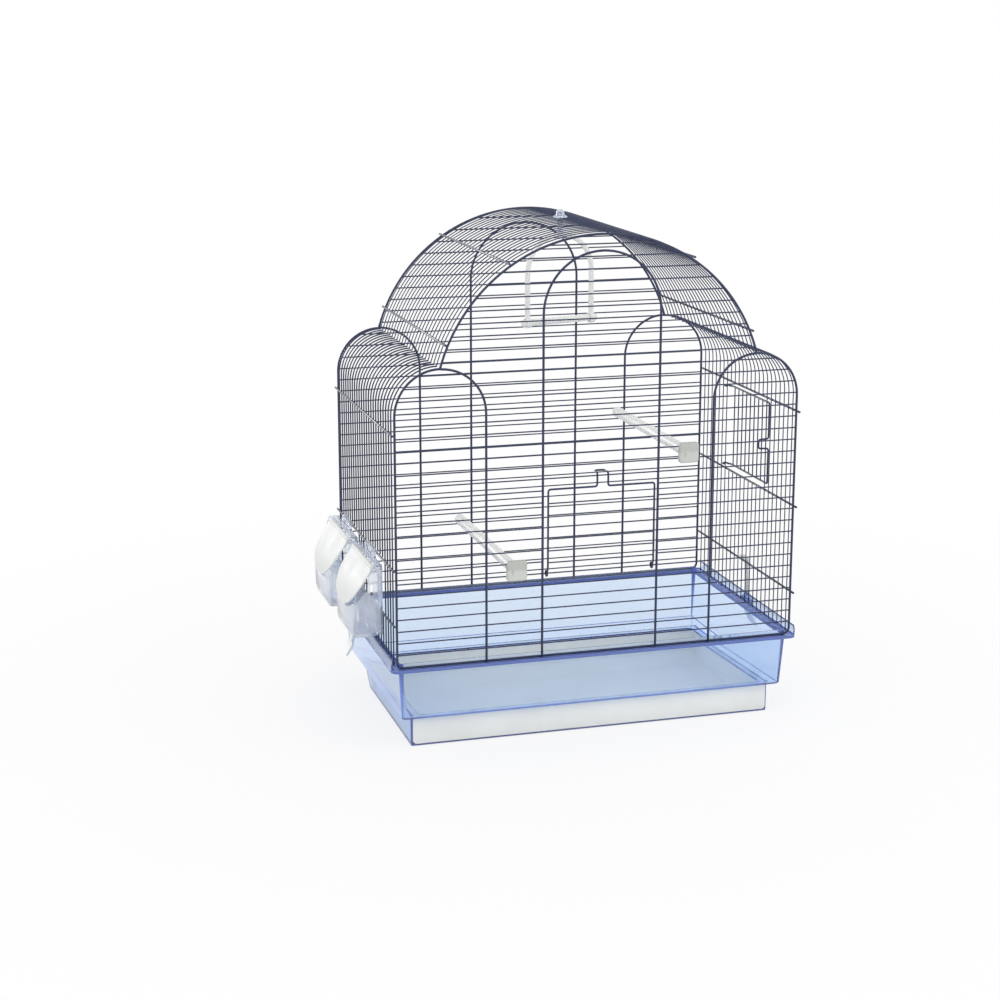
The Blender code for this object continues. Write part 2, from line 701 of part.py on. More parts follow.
def drawer():
    """Pull-out litter drawer with a sloped back and a front plate."""
    half_x = HALF_WIDTH - HOUSING_INSET - HOUSING_WALL - DRAWER_PLAY
    front = FRONT + HOUSING_FRONT + GAP
    slope_end = BACK - HOUSING_BACK - HOUSING_WALL - DRAWER_PLAY
    slope_start = BACK - HOUSING_BACK - HOUSING_SLOPE - DRAWER_PLAY
    bottom = HOUSING_WALL + GAP
    slope_top = HOUSING_SLOPE_RISE + DRAWER_PLAY
    top = FOOT - TRAY_DEPTH - 0.0030
    wall = DRAWER_WALL

    def ring(inset, back, z, radius=0.005):
        half_y = (back - front) / 2 - inset
        return rounded_rectangle(half_x - inset, half_y, radius, z, (0, (front + back) / 2))

    bm = bmesh.new()
    loft(bm, [
        ring(0, slope_start, bottom),
        ring(0, slope_end, slope_top),
        ring(0, slope_end, top),
        ring(wall, slope_end, top, 0.004),
        ring(wall, slope_end, slope_top, 0.004),
        ring(wall, slope_start, bottom + wall, 0.004),
    ])
    obj = make_object("drawer", bm, "white_plastic")
    half_plate = HALF_WIDTH - HOUSING_INSET - 0.0020
    low, high = 0.0030, FOOT - TRAY_DEPTH - 0.0010
    y1 = FRONT + HOUSING_FRONT - GAP
    y0 = y1 - DRAWER_FRONT_THICKNESS
    middle = (0, (low + high) / 2)
    outline = rounded_rectangle(half_plate, (high - low) / 2, 0.004, 0, middle)
    face = rounded_rectangle(half_plate - 0.0008, (high - low) / 2 - 0.0008, 0.0035, 0, middle)
    bm = bmesh.new()
    loft(bm, [
        [(x, y1, z) for x, z, _ in outline],
        [(x, y0 + 0.0008, z) for x, z, _ in outline],
        [(x, y0, z) for x, z, _ in face],
    ])
    helper(obj, bm)
    bm = bmesh.new()
    box(bm, (-half_x * 0.9, y1 - 0.001, 0.008), (half_x * 0.9, front + 0.001, top - 0.003))
    return helper(obj, bm)


def perch(name, x, row):
    """Round bar from front to back: a stud takes the cap, a spigot sits between back wires."""
    z = row_height(row) + ROW_PITCH / 2
    inside = FRAME_WIRE + GRILLE_WIRE
    start, end = FRONT + inside, BACK - inside
    reach = perch_cap_back() - PERCH_CAP_THICKNESS + PERCH_CAP_FACE + GAP
    profile = (
        (reach, PERCH_STUD),
        (start, PERCH_STUD),
        (start, PERCH_RADIUS - 0.0006),
        (start + 0.0006, PERCH_RADIUS),
        (end - 0.0006, PERCH_RADIUS),
        (end, PERCH_RADIUS - 0.0006),
        (end, 0.0040),
        (BACK + 0.0040, 0.0040),
    )
    bm = bmesh.new()
    turned(bm, (x, 0, z), (0, 1, 0), (0, 0, 1), profile, 10)
    make_object(name, bm, "white_plastic")
    perch_cap(name + "_cap", x, z)


def perch_cap_back():
    return FRONT - GRILLE_WIRE - GAP


def perch_cap(name, x, z):
    """Square cap pushed on the perch's stud from outside the front panel."""
    back = perch_cap_back()
    front = back - PERCH_CAP_THICKNESS
    half = PERCH_CAP / 2
    bore = PERCH_STUD + GAP
    hole = [(x + bore * math.cos(a), z + bore * math.sin(a)) for a in ring_angles(12)]
    outer = [(px, pz) for px, pz, _ in rounded_rectangle(half, half, 0.0020, 0, (x, z), 2)]
    inner = [(px, pz) for px, pz, _ in rounded_rectangle(half - 0.001, half - 0.001, 0.0015, 0, (x, z), 2)]
    bm = bmesh.new()
    loft(bm, [
        [(px, front, pz) for px, pz in inner],
        [(px, front + 0.001, pz) for px, pz in outer],
        [(px, back, pz) for px, pz in outer],
        [(px, back, pz) for px, pz in hole],
        [(px, front + PERCH_CAP_FACE, pz) for px, pz in hole],
    ])
    make_object(name, bm, "perch_cap")


def ring_angles(count):
    """Angles that pair a round hole with the corners of a rounded square."""
    steps = count // 4
    return [math.radians(90 * q + 90 * (k + 0.5) / steps) for q in range(4) for k in range(steps)]


def swing_centre():
    y = (side_wire_y(SWING_WIRE) + side_wire_y(SWING_WIRE + 1)) / 2
    return Vector((0, y, FOOT + ROOF_TOP - SWING_TOP))


def swing_hook():
    """Knob on the roof with a stem through the wires and an eye for the bow."""
    top = swing_centre()
    rest = crown_height(WRAP_OFFSET) + GRILLE_WIRE + GAP - top.z
    profile = (
        (0.0040, 0.0028),
        (rest, 0.0028),
        (rest, KNOB_FLANGE),
        (rest + 0.0014, KNOB_FLANGE),
        (rest + 0.0020, KNOB_RADIUS),
        (rest + 0.0065, KNOB_RADIUS),
        (rest + 0.0088, 0.0025),
    )
    bm = bmesh.new()
    turned(bm, top, (0, 0, 1), SWING_DIRECTION, profile, 10)
    obj = make_object("swing_hook", bm, "clear_plastic", origin=top)
    bm = bmesh.new()
    inner, outer, half = BOW_RADIUS + 0.0006, BOW_RADIUS + 0.0024, 0.0018
    profile = ((-half, outer), (half, outer), (half, inner), (-half, inner))
    turned(bm, top, SWING_DIRECTION, (0, 0, 1), profile, 10, closed=True)
    return helper(obj, bm)


def swing_bow():
    """Inverted U that hangs in the hook's eye, with a ring at each foot for the rod."""
    top = swing_centre()
    radius = SWING_HALF_WIDTH
    path = []
    for k in range(11):
        angle = math.radians(180 - 18 * k)
        rise = radius * (math.sin(angle) - 1)
        path.append(top + SWING_DIRECTION * (radius * math.cos(angle)) + Vector((0, 0, rise)))
    foot = Vector((0, 0, -SWING_DROP + ROD_RADIUS + 0.0006))
    path = [top - SWING_DIRECTION * radius + foot] + path + [top + SWING_DIRECTION * radius + foot]
    across = Vector((0, 0, 1)).cross(SWING_DIRECTION)
    bm = bmesh.new()
    tube(bm, path, across, BOW_RADIUS, 8)
    obj = make_object("swing_bow", bm, "white_plastic", origin=top)
    bm = bmesh.new()
    inner, outer, half = ROD_RADIUS + GAP, ROD_RADIUS + 0.0020, 0.0028
    profile = ((-half, outer), (half, outer), (half, inner), (-half, inner))
    for sign in (-1, 1):
        centre = top + SWING_DIRECTION * (sign * radius) - Vector((0, 0, SWING_DROP))
        turned(bm, centre, SWING_DIRECTION, (0, 0, 1), profile, 10, closed=True)
    return helper(obj, bm)


def swing_rod():
    top = swing_centre()
    centre = top - Vector((0, 0, SWING_DROP))
    end = ROD_HALF_LENGTH
    profile = (
        (-end, ROD_RADIUS - 0.0008),
        (-end + 0.0008, ROD_RADIUS),
        (end - 0.0008, ROD_RADIUS),
        (end, ROD_RADIUS - 0.0008),
    )
    bm = bmesh.new()
    turned(bm, centre, SWING_DIRECTION, (0, 0, 1), profile, 10)
    make_object("swing_rod", bm, "white_plastic", origin=top)


def plate_face():
    """X of the feeder plate's face against the wall's long wires."""
    return -(HALF_WIDTH + DEPTH_OFFSET + DEPTH_WIRE + GAP)


def hood_axis(y):
    return Vector((plate_face() - HOOD_AXIS_OUT, y, FOOT + HOOD_AXIS_HEIGHT))


def feeder_outline(pairs):
    """World (x, z) pairs from (reach, height) pairs."""
    return [(plate_face() - reach, FOOT + height) for reach, height in pairs]


def cheek_outline():
    """Side view of the plate's end walls, widest at the middle and narrow at the foot."""
    low, high, reach = PLATE_BOTTOM, PLATE_TOP, CHEEK_REACH
    return feeder_outline((
        (0, low),
        (0.40 * reach, low + 0.0035),
        (0.76 * reach, low + 0.0160),
        (reach, low + 0.0380),
        (0.94 * reach, high - 0.0230),
        (0.84 * reach, high - 0.0100),
        (HOOD_AXIS_OUT + 0.0036, high - 0.0012),
        (HOOD_AXIS_OUT + 0.0014, high),
        (0, high),
    ))


def feeder_plate(name, y):
    """Frame on the wall: window, end walls, cup rails, shelf and a hook over the long wire."""
    inner = plate_face()
    outer = inner - PLATE_THICKNESS
    half, window = FEEDER_WIDTH / 2, FEEDER_WINDOW / 2
    low, high = FOOT + PLATE_BOTTOM, FOOT + PLATE_TOP
    window_low, window_high = FOOT + CUP_BACK_TOP + 0.0010, high - 0.0070
    bm = bmesh.new()
    rings = []
    for x, hole in ((inner, False), (outer, False), (outer, True), (inner, True)):
        if hole:
            size = (window, (window_high - window_low) / 2)
            points = rounded_rectangle(*size, 0.004, 0, (y, (window_low + window_high) / 2), 2)
        else:
            points = rounded_rectangle(half, (high - low) / 2, 0.002, 0, (y, (low + high) / 2), 2)
        rings.append([(x, a, b) for a, b, _ in points])
    loft(bm, rings, closed=True)
    obj = make_object(name + "_plate", bm, "clear_plastic")
    cheek = half - CHEEK_THICKNESS
    bm = bmesh.new()
    for sign in (-1, 1):
        near, far = sorted((y + sign * cheek, y + sign * half))
        extruded(bm, cheek_outline(), near, far)
    helper(obj, bm)
    bm = bmesh.new()
    shelf = feeder_outline(((0.0010, PLATE_TOP - SHELF_THICKNESS), (SHELF_REACH, PLATE_TOP - SHELF_THICKNESS),
                            (SHELF_REACH, PLATE_TOP), (0.0010, PLATE_TOP)))
    extruded(bm, shelf, y - cheek - 0.0005, y + cheek + 0.0005)
    helper(obj, bm)
    bm = bmesh.new()
    rail_top = FOOT + CUP_FLANGE_HEIGHT - GAP
    for sign in (-1, 1):
        inside = cup_half_width() + 0.0005
        near, far = sorted((y + sign * inside, y + sign * (cheek + 0.0005)))
        box(bm, (inner - 0.0120, near, rail_top - 0.0020), (outer + 0.0010, far, rail_top))
    helper(obj, bm)
    wire_top = LEFT_DEPTH_HEIGHTS[1] + DEPTH_WIRE
    top = wire_top + 0.0020
    hook = feeder_outline((
        (PLATE_THICKNESS, PLATE_TOP - 0.0040),
        (PLATE_THICKNESS, top),
        (-0.0022, top),
        (-0.0022, wire_top + GAP),
        (0, wire_top + GAP),
        (0, PLATE_TOP - 0.0040),
    ))
    bm = bmesh.new()
    extruded(bm, hook, y - HOOK_WIDTH / 2, y + HOOK_WIDTH / 2)
    helper(obj, bm)
    bm = bmesh.new()
    for sign in (-1, 1):
        middle = y + sign * (HOOK_WIDTH - HOOK_POST) / 4
        span = (HOOK_WIDTH - 3 * HOOK_POST / 2) / 4
        low_corner = (outer - 0.0010, middle - span + 0.0010, high + 0.0006)
        box(bm, low_corner, (inner + 0.0030, middle + span - 0.0010, FOOT + wire_top + GAP / 2))
    helper(obj, bm, "DIFFERENCE")
    bm = bmesh.new()
    bore = HOOD_PIN + GAP
    for sign in (-1, 1):
        ends = sorted((sign * (cheek - 0.0010), sign * (half + 0.0010)))
        turned(bm, hood_axis(y), (0, 1, 0), (0, 0, 1), [(end, bore) for end in ends], 8)
        near, far = sorted((y + sign * (cheek - 0.0010), y + sign * (half + 0.0010)))
        extruded(bm, slot_outline(), near, far)
    return helper(obj, bm, "DIFFERENCE")


def slot_outline():
    """Long hole in each end wall, near its outer edge."""
    middle = (0.94 * CHEEK_REACH - 0.0027 - SLOT_WIDTH / 2, SLOT_MIDDLE)
    points = rounded_rectangle(SLOT_WIDTH / 2, SLOT_HEIGHT / 2, SLOT_WIDTH / 2 - 0.0001, 0, middle, 2)
    return feeder_outline([(reach, height) for reach, height, _ in points])


def cup_half_width():
    return FEEDER_WIDTH / 2 - CHEEK_THICKNESS - CUP_SIDE_GAP


def cup_rim(reach, y):
    """Height of the cup's edge: low in the middle of the front, high on the end walls."""
    if reach >= CUP_REACH - 0.0030:
        share = min(1.0, abs(y) / (cup_half_width() - 0.0090))
        return CUP_FRONT_TOP + (CUP_CORNER_TOP - CUP_FRONT_TOP) * share**2
    if reach >= CUP_CREST:
        share = (CUP_REACH - 0.0030 - reach) / (CUP_REACH - 0.0030 - CUP_CREST)
        return CUP_CORNER_TOP + (CUP_END_TOP - CUP_CORNER_TOP) * share
    share = max(0.0, (reach - CUP_SHOULDER) / (CUP_CREST - CUP_SHOULDER))
    return CUP_BACK_TOP + (CUP_END_TOP - CUP_BACK_TOP) * share**0.8


def cup_ring(inset, radius, height, y, end=0.0):
    """Horizontal outline of the cup, or its edge where no height is given."""
    half = cup_half_width() - end
    reach = CUP_REACH - inset
    points = []
    end_middle = half - inset - radius
    for start, cx, cy in ((0, reach - radius, end_middle), (90, inset + radius, end_middle)):
        for k in range(4):
            angle = math.radians(start + 30 * k)
            points.append((cx + radius * math.cos(angle), cy + radius * math.sin(angle)))
        if start == 0:
            points.append((CUP_CREST, half - inset))
    front = [(reach, share * (half - inset - radius)) for share in (-0.66, -0.33, 0, 0.33, 0.66)]
    ring = front + points + [(px, -py) for px, py in reversed(points)]
    back = plate_face() - PLATE_THICKNESS - GAP
    result = []
    for px, py in ring:
        z = height
        if height is None:
            z = cup_rim(px, py)
        result.append((back - px, y + py, FOOT + z))
    return result


def feeder_cup(name, y):
    """Seed cup on the plate's two rails, its inner wall low so that a bird reaches in."""
    back = plate_face() - PLATE_THICKNESS - GAP
    low, wall = CUP_BOTTOM, CUP_WALL
    bm = bmesh.new()
    loft(bm, [
        cup_ring(0.0030, 0.0050, low, y, 0.0110),
        cup_ring(0.0010, 0.0060, low + 0.0026, y, 0.0056),
        cup_ring(0.0002, 0.0068, low + 0.0080, y, 0.0014),
        cup_ring(0, 0.0070, CUP_FRONT_TOP - 0.0060, y),
        cup_ring(0, 0.0070, None, y),
        cup_ring(wall, 0.0054, None, y),
        cup_ring(wall, 0.0054, CUP_FRONT_TOP - 0.0060, y),
        cup_ring(wall + 0.0002, 0.0052, low + 0.0086, y, 0.0014),
        cup_ring(wall + 0.0010, 0.0046, low + 0.0038, y, 0.0056),
        cup_ring(wall + 0.0028, 0.0036, low + wall, y, 0.0110),
    ])
    obj = make_object(name + "_cup", bm, "clear_plastic", origin=(back, y, FOOT + low))
    bm = bmesh.new()
    base = FOOT + CUP_FLANGE_HEIGHT
    half = cup_half_width()
    for sign in (-1, 1):
        near, far = sorted((y + sign * (half - 0.0012), y + sign * (half + CUP_FLANGE)))
        box(bm, (back - 0.0190, near, base), (back - 0.0045, far, base + 0.0014))
    return helper(obj, bm)


def hood_section(share):
    """Reach, height, outward direction and half width of the hood at a share of its length."""
    start = Vector((HOOD_AXIS_OUT + 0.0008, HOOD_AXIS_HEIGHT + 0.0022))
    belly, end = Vector(HOOD_BELLY), Vector((HOOD_REACH, HOOD_LIP))
    point = start * (1 - share) ** 2 + belly * (2 * share * (1 - share)) + end * share**2
    along = ((belly - start) * (1 - share) + (end - belly) * share).normalized()
    drop = (start.y - point.y) / (start.y - end.y)
    half = FEEDER_WIDTH / 2 - CHEEK_THICKNESS - 3 * GAP
    return point, Vector((-along.y, along.x)), half * math.sqrt(max(0.0, 1 - drop**3))


def feeder_hood(name, y):
    """Curved shield that hangs from the plate's end walls and lifts about its two pins."""
    axis = hood_axis(y)
    full = hood_section(0)[2]
    bm = bmesh.new()
    rings = []
    for share in (0, 0.10, 0.25, 0.40, 0.55, 0.69, 0.81, 0.90, 0.965):
        point, out, half = hood_section(share)
        outside, inside = [], []
        for step in range(-4, 5):
            across = math.sin(math.radians(22.5 * step))
            crown = HOOD_CROWN * (1 - across**2) * math.sin(math.pi * share) * half / full
            for side, depth in ((outside, 0), (inside, HOOD_WALL)):
                reach, height = point + out * (crown - depth)
                side.append((plate_face() - reach, y + across * half, FOOT + height))
        rings.append(outside + inside[::-1])
    loft(bm, rings)
    obj = make_object(name + "_hood", bm, "opal_plastic", origin=axis)
    bm = bmesh.new()
    inside = FEEDER_WIDTH / 2 - CHEEK_THICKNESS - GAP
    end = FEEDER_WIDTH / 2 - 0.0002
    profile = [(-end, HOOD_PIN), (-inside, HOOD_PIN), (-inside, HOOD_BARREL)]
    profile += [(-distance, radius) for distance, radius in reversed(profile)]
    turned(bm, axis, (0, 1, 0), (0, 0, 1), profile, 12)
    return helper(obj, bm)


def clip(name, sign, y):
    """Lever that holds the wire body down: two fingers over the lowest long wire, thumb tab below."""
    axis_x = HALF_WIDTH + CLIP_AXIS_OUT
    axis = Vector((sign * axis_x, y, FOOT + CLIP_AXIS_HEIGHT))
    wire_top = FOOT + LEFT_DEPTH_HEIGHTS[0] + DEPTH_WIRE + GAP
    hook_x = HALF_WIDTH + DEPTH_OFFSET - 0.0004
    finger = (
        (hook_x, wire_top),
        (axis_x - 0.0046, wire_top),
        (axis_x - 0.0036, wire_top - 0.0060),
        (axis_x - 0.0014, wire_top - 0.0070),
        (axis_x - 0.0016, wire_top + 0.0012),
        (axis_x - 0.0040, wire_top + 0.0030),
        (hook_x, wire_top + 0.0028),
    )
    finger = [(sign * x, z) for x, z in finger]
    bm = bmesh.new()
    for start, end in ((-CLIP_WIDTH / 2, -CLIP_WINDOW / 2), (CLIP_WINDOW / 2, CLIP_WIDTH / 2)):
        extruded(bm, finger, y + start, y + end)
    obj = make_object(name, bm, "white_plastic", origin=axis)
    stem = (
        (axis_x - 0.0034, wire_top - 0.0050),
        (axis_x - 0.0020, FOOT + 0.0060),
        (axis_x - 0.0016, axis.z - 0.0020),
        (axis_x + 0.0016, axis.z - 0.0100),
        (axis_x + 0.0060, axis.z - 0.0200),
        (axis_x + 0.0110, axis.z - 0.0270),
        (axis_x + 0.0123, axis.z - 0.0252),
        (axis_x + 0.0080, axis.z - 0.0180),
        (axis_x + 0.0044, axis.z - 0.0080),
        (axis_x + 0.0018, axis.z + 0.0020),
        (axis_x + 0.0004, FOOT + 0.0080),
        (axis_x - 0.0014, wire_top - 0.0050),
    )
    tab = (
        (axis_x + 0.0030, axis.z - 0.0135),
        (axis_x + 0.0062, axis.z - 0.0203),
        (axis_x + 0.0112, axis.z - 0.0273),
        (axis_x + 0.0125, axis.z - 0.0251),
        (axis_x + 0.0081, axis.z - 0.0178),
        (axis_x + 0.0052, axis.z - 0.0115),
    )
    bm = bmesh.new()
    extruded(bm, [(sign * x, z) for x, z in stem], y - CLIP_STEM / 2, y + CLIP_STEM / 2)
    helper(obj, bm)
    bm = bmesh.new()
    extruded(bm, [(sign * x, z) for x, z in tab], y - CLIP_TAB / 2, y + CLIP_TAB / 2)
    helper(obj, bm)
    bm = bmesh.new()
    span = pin_length() / 2
    turned(bm, (axis.x, y, axis.z), (0, 1, 0), (0, 0, 1), [(-span, CLIP_PIN), (span, CLIP_PIN)], 8)
    return helper(obj, bm)


def feeder_windows():
    """Side wires that are cut between the lower two long wires of the left wall."""
    cut = {}
    low, high = FOOT + LEFT_DEPTH_HEIGHTS[0], FOOT + LEFT_DEPTH_HEIGHTS[1]
    for number in range(1, SIDE_WIRE_COUNT + 1):
        y = side_wire_y(number) - FRONT
        if any(abs(y - place) < FEEDER_WINDOW / 2 + 0.002 for _, place in FEEDER_PLACES):
            cut[number] = ((low, high),)
    return cut


def side_door_windows():
    low, high = FOOT + RIGHT_DEPTH_HEIGHTS[1], FOOT + RIGHT_DEPTH_HEIGHTS[2]
    return {n: ((low, high),) for n in range(SIDE_DOOR_FRONT_WIRE + 1, SIDE_DOOR_HINGE_WIRE)}


def build():
    clear_scene()
    base_tray()
    drawer()
    panel("front_panel", FRONT, (DOOR_HINGE_ROW, DOOR_LATCH_ROW))
    panel("back_panel", BACK)
    side_wall("left_wall", -1, LEFT_DEPTH_HEIGHTS, feeder_windows())
    side_wall("right_wall", 1, RIGHT_DEPTH_HEIGHTS, side_door_windows())
    roof()
    front_door()
    side_door()
    for name, x, row in PERCH_PLACES:
        perch(name, x, row)
    swing_hook()
    swing_bow()
    swing_rod()
    for name, place in FEEDER_PLACES:
        feeder_plate(name, FRONT + place)
        feeder_cup(name, FRONT + place)
        feeder_hood(name, FRONT + place)
    for name, sign, y in CLIP_PLACES:
        clip(name, sign, y)


build()
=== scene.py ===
"""Looks of the bird cage: round wires, moulded plastics, materials, light and camera."""

import json
import math

import bmesh
import bpy
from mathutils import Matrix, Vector

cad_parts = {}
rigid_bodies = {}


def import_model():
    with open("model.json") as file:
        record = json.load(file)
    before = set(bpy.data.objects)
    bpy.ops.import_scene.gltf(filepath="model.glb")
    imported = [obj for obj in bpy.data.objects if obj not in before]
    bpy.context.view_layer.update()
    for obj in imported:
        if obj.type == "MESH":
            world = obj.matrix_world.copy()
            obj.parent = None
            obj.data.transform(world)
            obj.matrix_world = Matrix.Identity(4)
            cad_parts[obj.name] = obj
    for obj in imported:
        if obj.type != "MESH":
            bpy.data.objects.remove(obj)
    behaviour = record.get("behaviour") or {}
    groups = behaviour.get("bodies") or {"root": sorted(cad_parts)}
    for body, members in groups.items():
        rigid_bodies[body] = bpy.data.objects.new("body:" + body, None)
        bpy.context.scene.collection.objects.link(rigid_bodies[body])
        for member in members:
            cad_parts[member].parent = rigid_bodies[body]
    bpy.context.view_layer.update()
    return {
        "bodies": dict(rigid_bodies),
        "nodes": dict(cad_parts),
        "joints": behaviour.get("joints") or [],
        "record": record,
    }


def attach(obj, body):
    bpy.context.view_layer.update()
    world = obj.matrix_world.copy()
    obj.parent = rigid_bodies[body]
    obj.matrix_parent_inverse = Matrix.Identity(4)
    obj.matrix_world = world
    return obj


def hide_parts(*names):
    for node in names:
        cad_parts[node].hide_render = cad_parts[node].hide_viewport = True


# Sizes are in metres. Heights are above the floor, unless a comment says otherwise.

# Outline of the wire body
HALF_WIDTH = 0.220
FRONT = -0.137
BACK = 0.137
FOOT = 0.093
FOOT_CORNER = 0.007
SHOULDER = FOOT + 0.265
SIDE_ARCH_RADIUS = 0.0478
SIDE_ARCH_X = HALF_WIDTH - SIDE_ARCH_RADIUS
SIDE_ARCH_TOP = SHOULDER + SIDE_ARCH_RADIUS
ROOF_RISE = 0.1306
ROOF_TOP = SIDE_ARCH_TOP + ROOF_RISE
ROOF_RADIUS = (SIDE_ARCH_X**2 + ROOF_RISE**2) / (2 * ROOF_RISE)
ROOF_CENTRE = ROOF_TOP - ROOF_RADIUS
CENTRE_RADIUS = 0.0635
CENTRE_SPRING = FOOT + 0.3632

# Rows of cross wires on the front and the back, and side wires evenly over the depth
ROWS = 34
FIRST_ROW = FOOT + 0.01386
ROW_PITCH = 0.012716
SIDE_SPACES = 24
SIDE_PITCH = (BACK - FRONT) / SIDE_SPACES

# Long wires: heights above FOOT on the walls, degrees from upright on the roof
LEFT_LONG_WIRES = (0.0460, 0.1050, 0.2467)
RIGHT_LONG_WIRES = (0.0460, 0.1422, 0.2467)
ROOF_LONG_WIRES = (33.3, 66.6)
LONG_END = 0.0029

# Radii of the wires, and how many sides a thin and a thick one has
THICK = 0.00128
THIN = 0.00074
SIDE_WIRE = 0.00062
LEFT_SIDE_WIRE = 0.00080
LONG = 0.00122
DOOR_WIRE = 0.00108
THIN_SIDES = 8
THICK_SIDES = 10
# Places of the rings at a wire's domed end, and their radii, as shares of the wire's radius
DOME = ((0.0, 0.45), (0.25, 0.85), (0.6, 1.0))

# How far each layer of wires lies outside the outline
LONG_OUT = 0.00295
SIDE_OUT = 0.00100
LEG_OUT = 0.00205
DOOR_OUT = 0.0050

# Doors: the rows and side wires that bound their openings, and the frames' sizes.
# Heights of the front door are above its upper row. Each latch is given at the frame and at
# its hook, as (left, right) for the front door and as half widths for the side door.
FRONT_DOOR_ROWS = (7, 15)
FRONT_DOOR_HALF = 0.0585
FRONT_DOOR_TOP = -0.0105
FRONT_LATCH_TOP = 0.0040
FRONT_LATCH = ((-0.005, 0.007), (-0.004, 0.006))
SIDE_DOOR_WIRES = (7, 17)
SIDE_DOOR_GAP = 0.0063
SIDE_DOOR_FREE = 0.0040
SIDE_LATCH = (0.0055, 0.0050)
HOOK_REACH = 0.0069
DOOR_CORNER = 0.0028
EYE_RADIUS = 0.00275
EYE_LENGTH = 0.0065

# Tray and drawer
RIM_OVERHANG = 0.0070
TRAY_DEPTH = 0.0595
TRAY_BOTTOM = FOOT - TRAY_DEPTH
TRAY_TAPER = 0.0055
HOUSING_HALF = HALF_WIDTH - 0.0175
HOUSING_FRONT = FRONT + 0.0160
HOUSING_BACK = BACK - 0.0440
HOUSING_WALL = 0.0022
HOUSING_SLOPE = 0.0210
HOUSING_SLOPE_RISE = 0.0160
HOUSING_EDGE = 0.0012
DRAWER_PLAY = 0.0008
DRAWER_WALL = 0.0018
PLATE_CORNER = 0.0040
GAP = 0.0003

# Clips: side and y of each, its axis, and where its ears begin and end beside its middle
CLIP_PLACES = ((-1, 0.01775), (1, 0.0030))
CLIP_AXIS_OUT = 0.0112
CLIP_AXIS_Z = FOOT - 0.0030
CLIP_BORE = 0.0018
CLIP_EARS = (0.0055, 0.0095)

# Feeders: distances of their middles from the front, and half the width of their windows
FEEDER_PLACES = (0.0950, 0.2145)
FEEDER_ROOM = 0.0390

# Perches: name, x and row that each lies above. A bar ends PERCH_SHORT before the back.
PERCH_PLACES = (("perch_low", -0.0920, 7), ("perch_high", 0.0967, 16))
PERCH_RADIUS = 0.0060
PERCH_STUB = 0.0036
PERCH_TIP = 0.0030
PERCH_SHORT = 0.0500
CAP_HALF = 0.0109
CAP_CORNER = 0.0032
CAP_BACK = FRONT - THIN - GAP
CAP_THICKNESS = 0.0055
CAP_FACE = 0.0012
# Half height and half width of a cap's dimple, and its shift from the cap's middle
DIMPLE = (0.0030, 0.0016)
DIMPLE_SHIFT = (-0.0050, -0.0020)

# Swing
SWING_TURN = math.radians(13.6)
SWING_ALONG = Vector((math.cos(SWING_TURN), math.sin(SWING_TURN), 0))
SWING_TOP = Vector((0, SIDE_PITCH / 2, ROOF_TOP - 0.0160))
SWING_HALF = 0.0405
SWING_DROP = 0.0935
BOW_RADIUS = 0.0029
ROD_RADIUS = 0.0038
ROD_HALF = 0.0475
ROD_CENTRE = SWING_TOP - Vector((0, 0, SWING_DROP))

# Rounded edges as (distance from the end, distance in from the side)
PERCH_EDGE = ((0.0, 0.0012), (0.0002, 0.0006), (0.0006, 0.0002), (0.0012, 0.0))
ROD_EDGE = ((0.0, 0.0014), (0.0003, 0.0006), (0.0008, 0.0002), (0.0014, 0.0))
CAP_EDGE = ((0.0, 0.0022), (0.0002, 0.0012), (0.0007, 0.0005), (0.0015, 0.0001), (0.0022, 0.0))
PLATE_EDGE = ((0.0, 0.0), (0.0018, 0.0), (0.0024, 0.0003), (0.0028, 0.0010))
# Knob of the swing's hook as (height above the roof wires, radius)
KNOB = (
    (0.0, 0.0028), (0.0, 0.0070), (0.0004, 0.0078), (0.0012, 0.0078), (0.0020, 0.0068),
    (0.0024, 0.0047), (0.0034, 0.0045), (0.0062, 0.0045), (0.0076, 0.0041),
    (0.0085, 0.0030), (0.0088, 0.0012),
)

# Colours. Each pair has the two ends of a mottling, or a lower and an upper half.
NAVY = ((0.012, 0.021, 0.062), (0.024, 0.035, 0.092))
WHITE = ((0.80, 0.82, 0.80), (0.84, 0.86, 0.84))
OPAL = ((0.80, 0.82, 0.80), (0.85, 0.86, 0.85))
CLEAR = ((0.90, 0.93, 0.98), (0.94, 0.96, 1.0))
BLUE = ((0.97, 0.98, 1.0), (1.0, 1.0, 1.0))
# Painted shade for the tray's edges, where light bent in the clear walls makes them look dark
EDGE_SHADE_BLUE = (0.19, 0.27, 0.62)
CAP_GRAIN = ((0.94, 0.94, 0.94), (1.0, 1.0, 1.0))
CAP_HALVES = ((0.60, 0.62, 0.58), (0.49, 0.51, 0.47))
# Colour and density that light meets inside the clear mouldings
CLEAR_DEPTH = ((0.25, 0.45, 0.80), 30.0)
BLUE_DEPTH = ((0.06, 0.48, 0.97), 150.0)
# Share of the light that is left in the shadows of these mouldings
OPAL_SHADE = (0.8, 0.8, 0.8)
CLEAR_SHADE = (0.88, 0.90, 0.94)
BLUE_SHADE = (0.78, 0.92, 1.0)
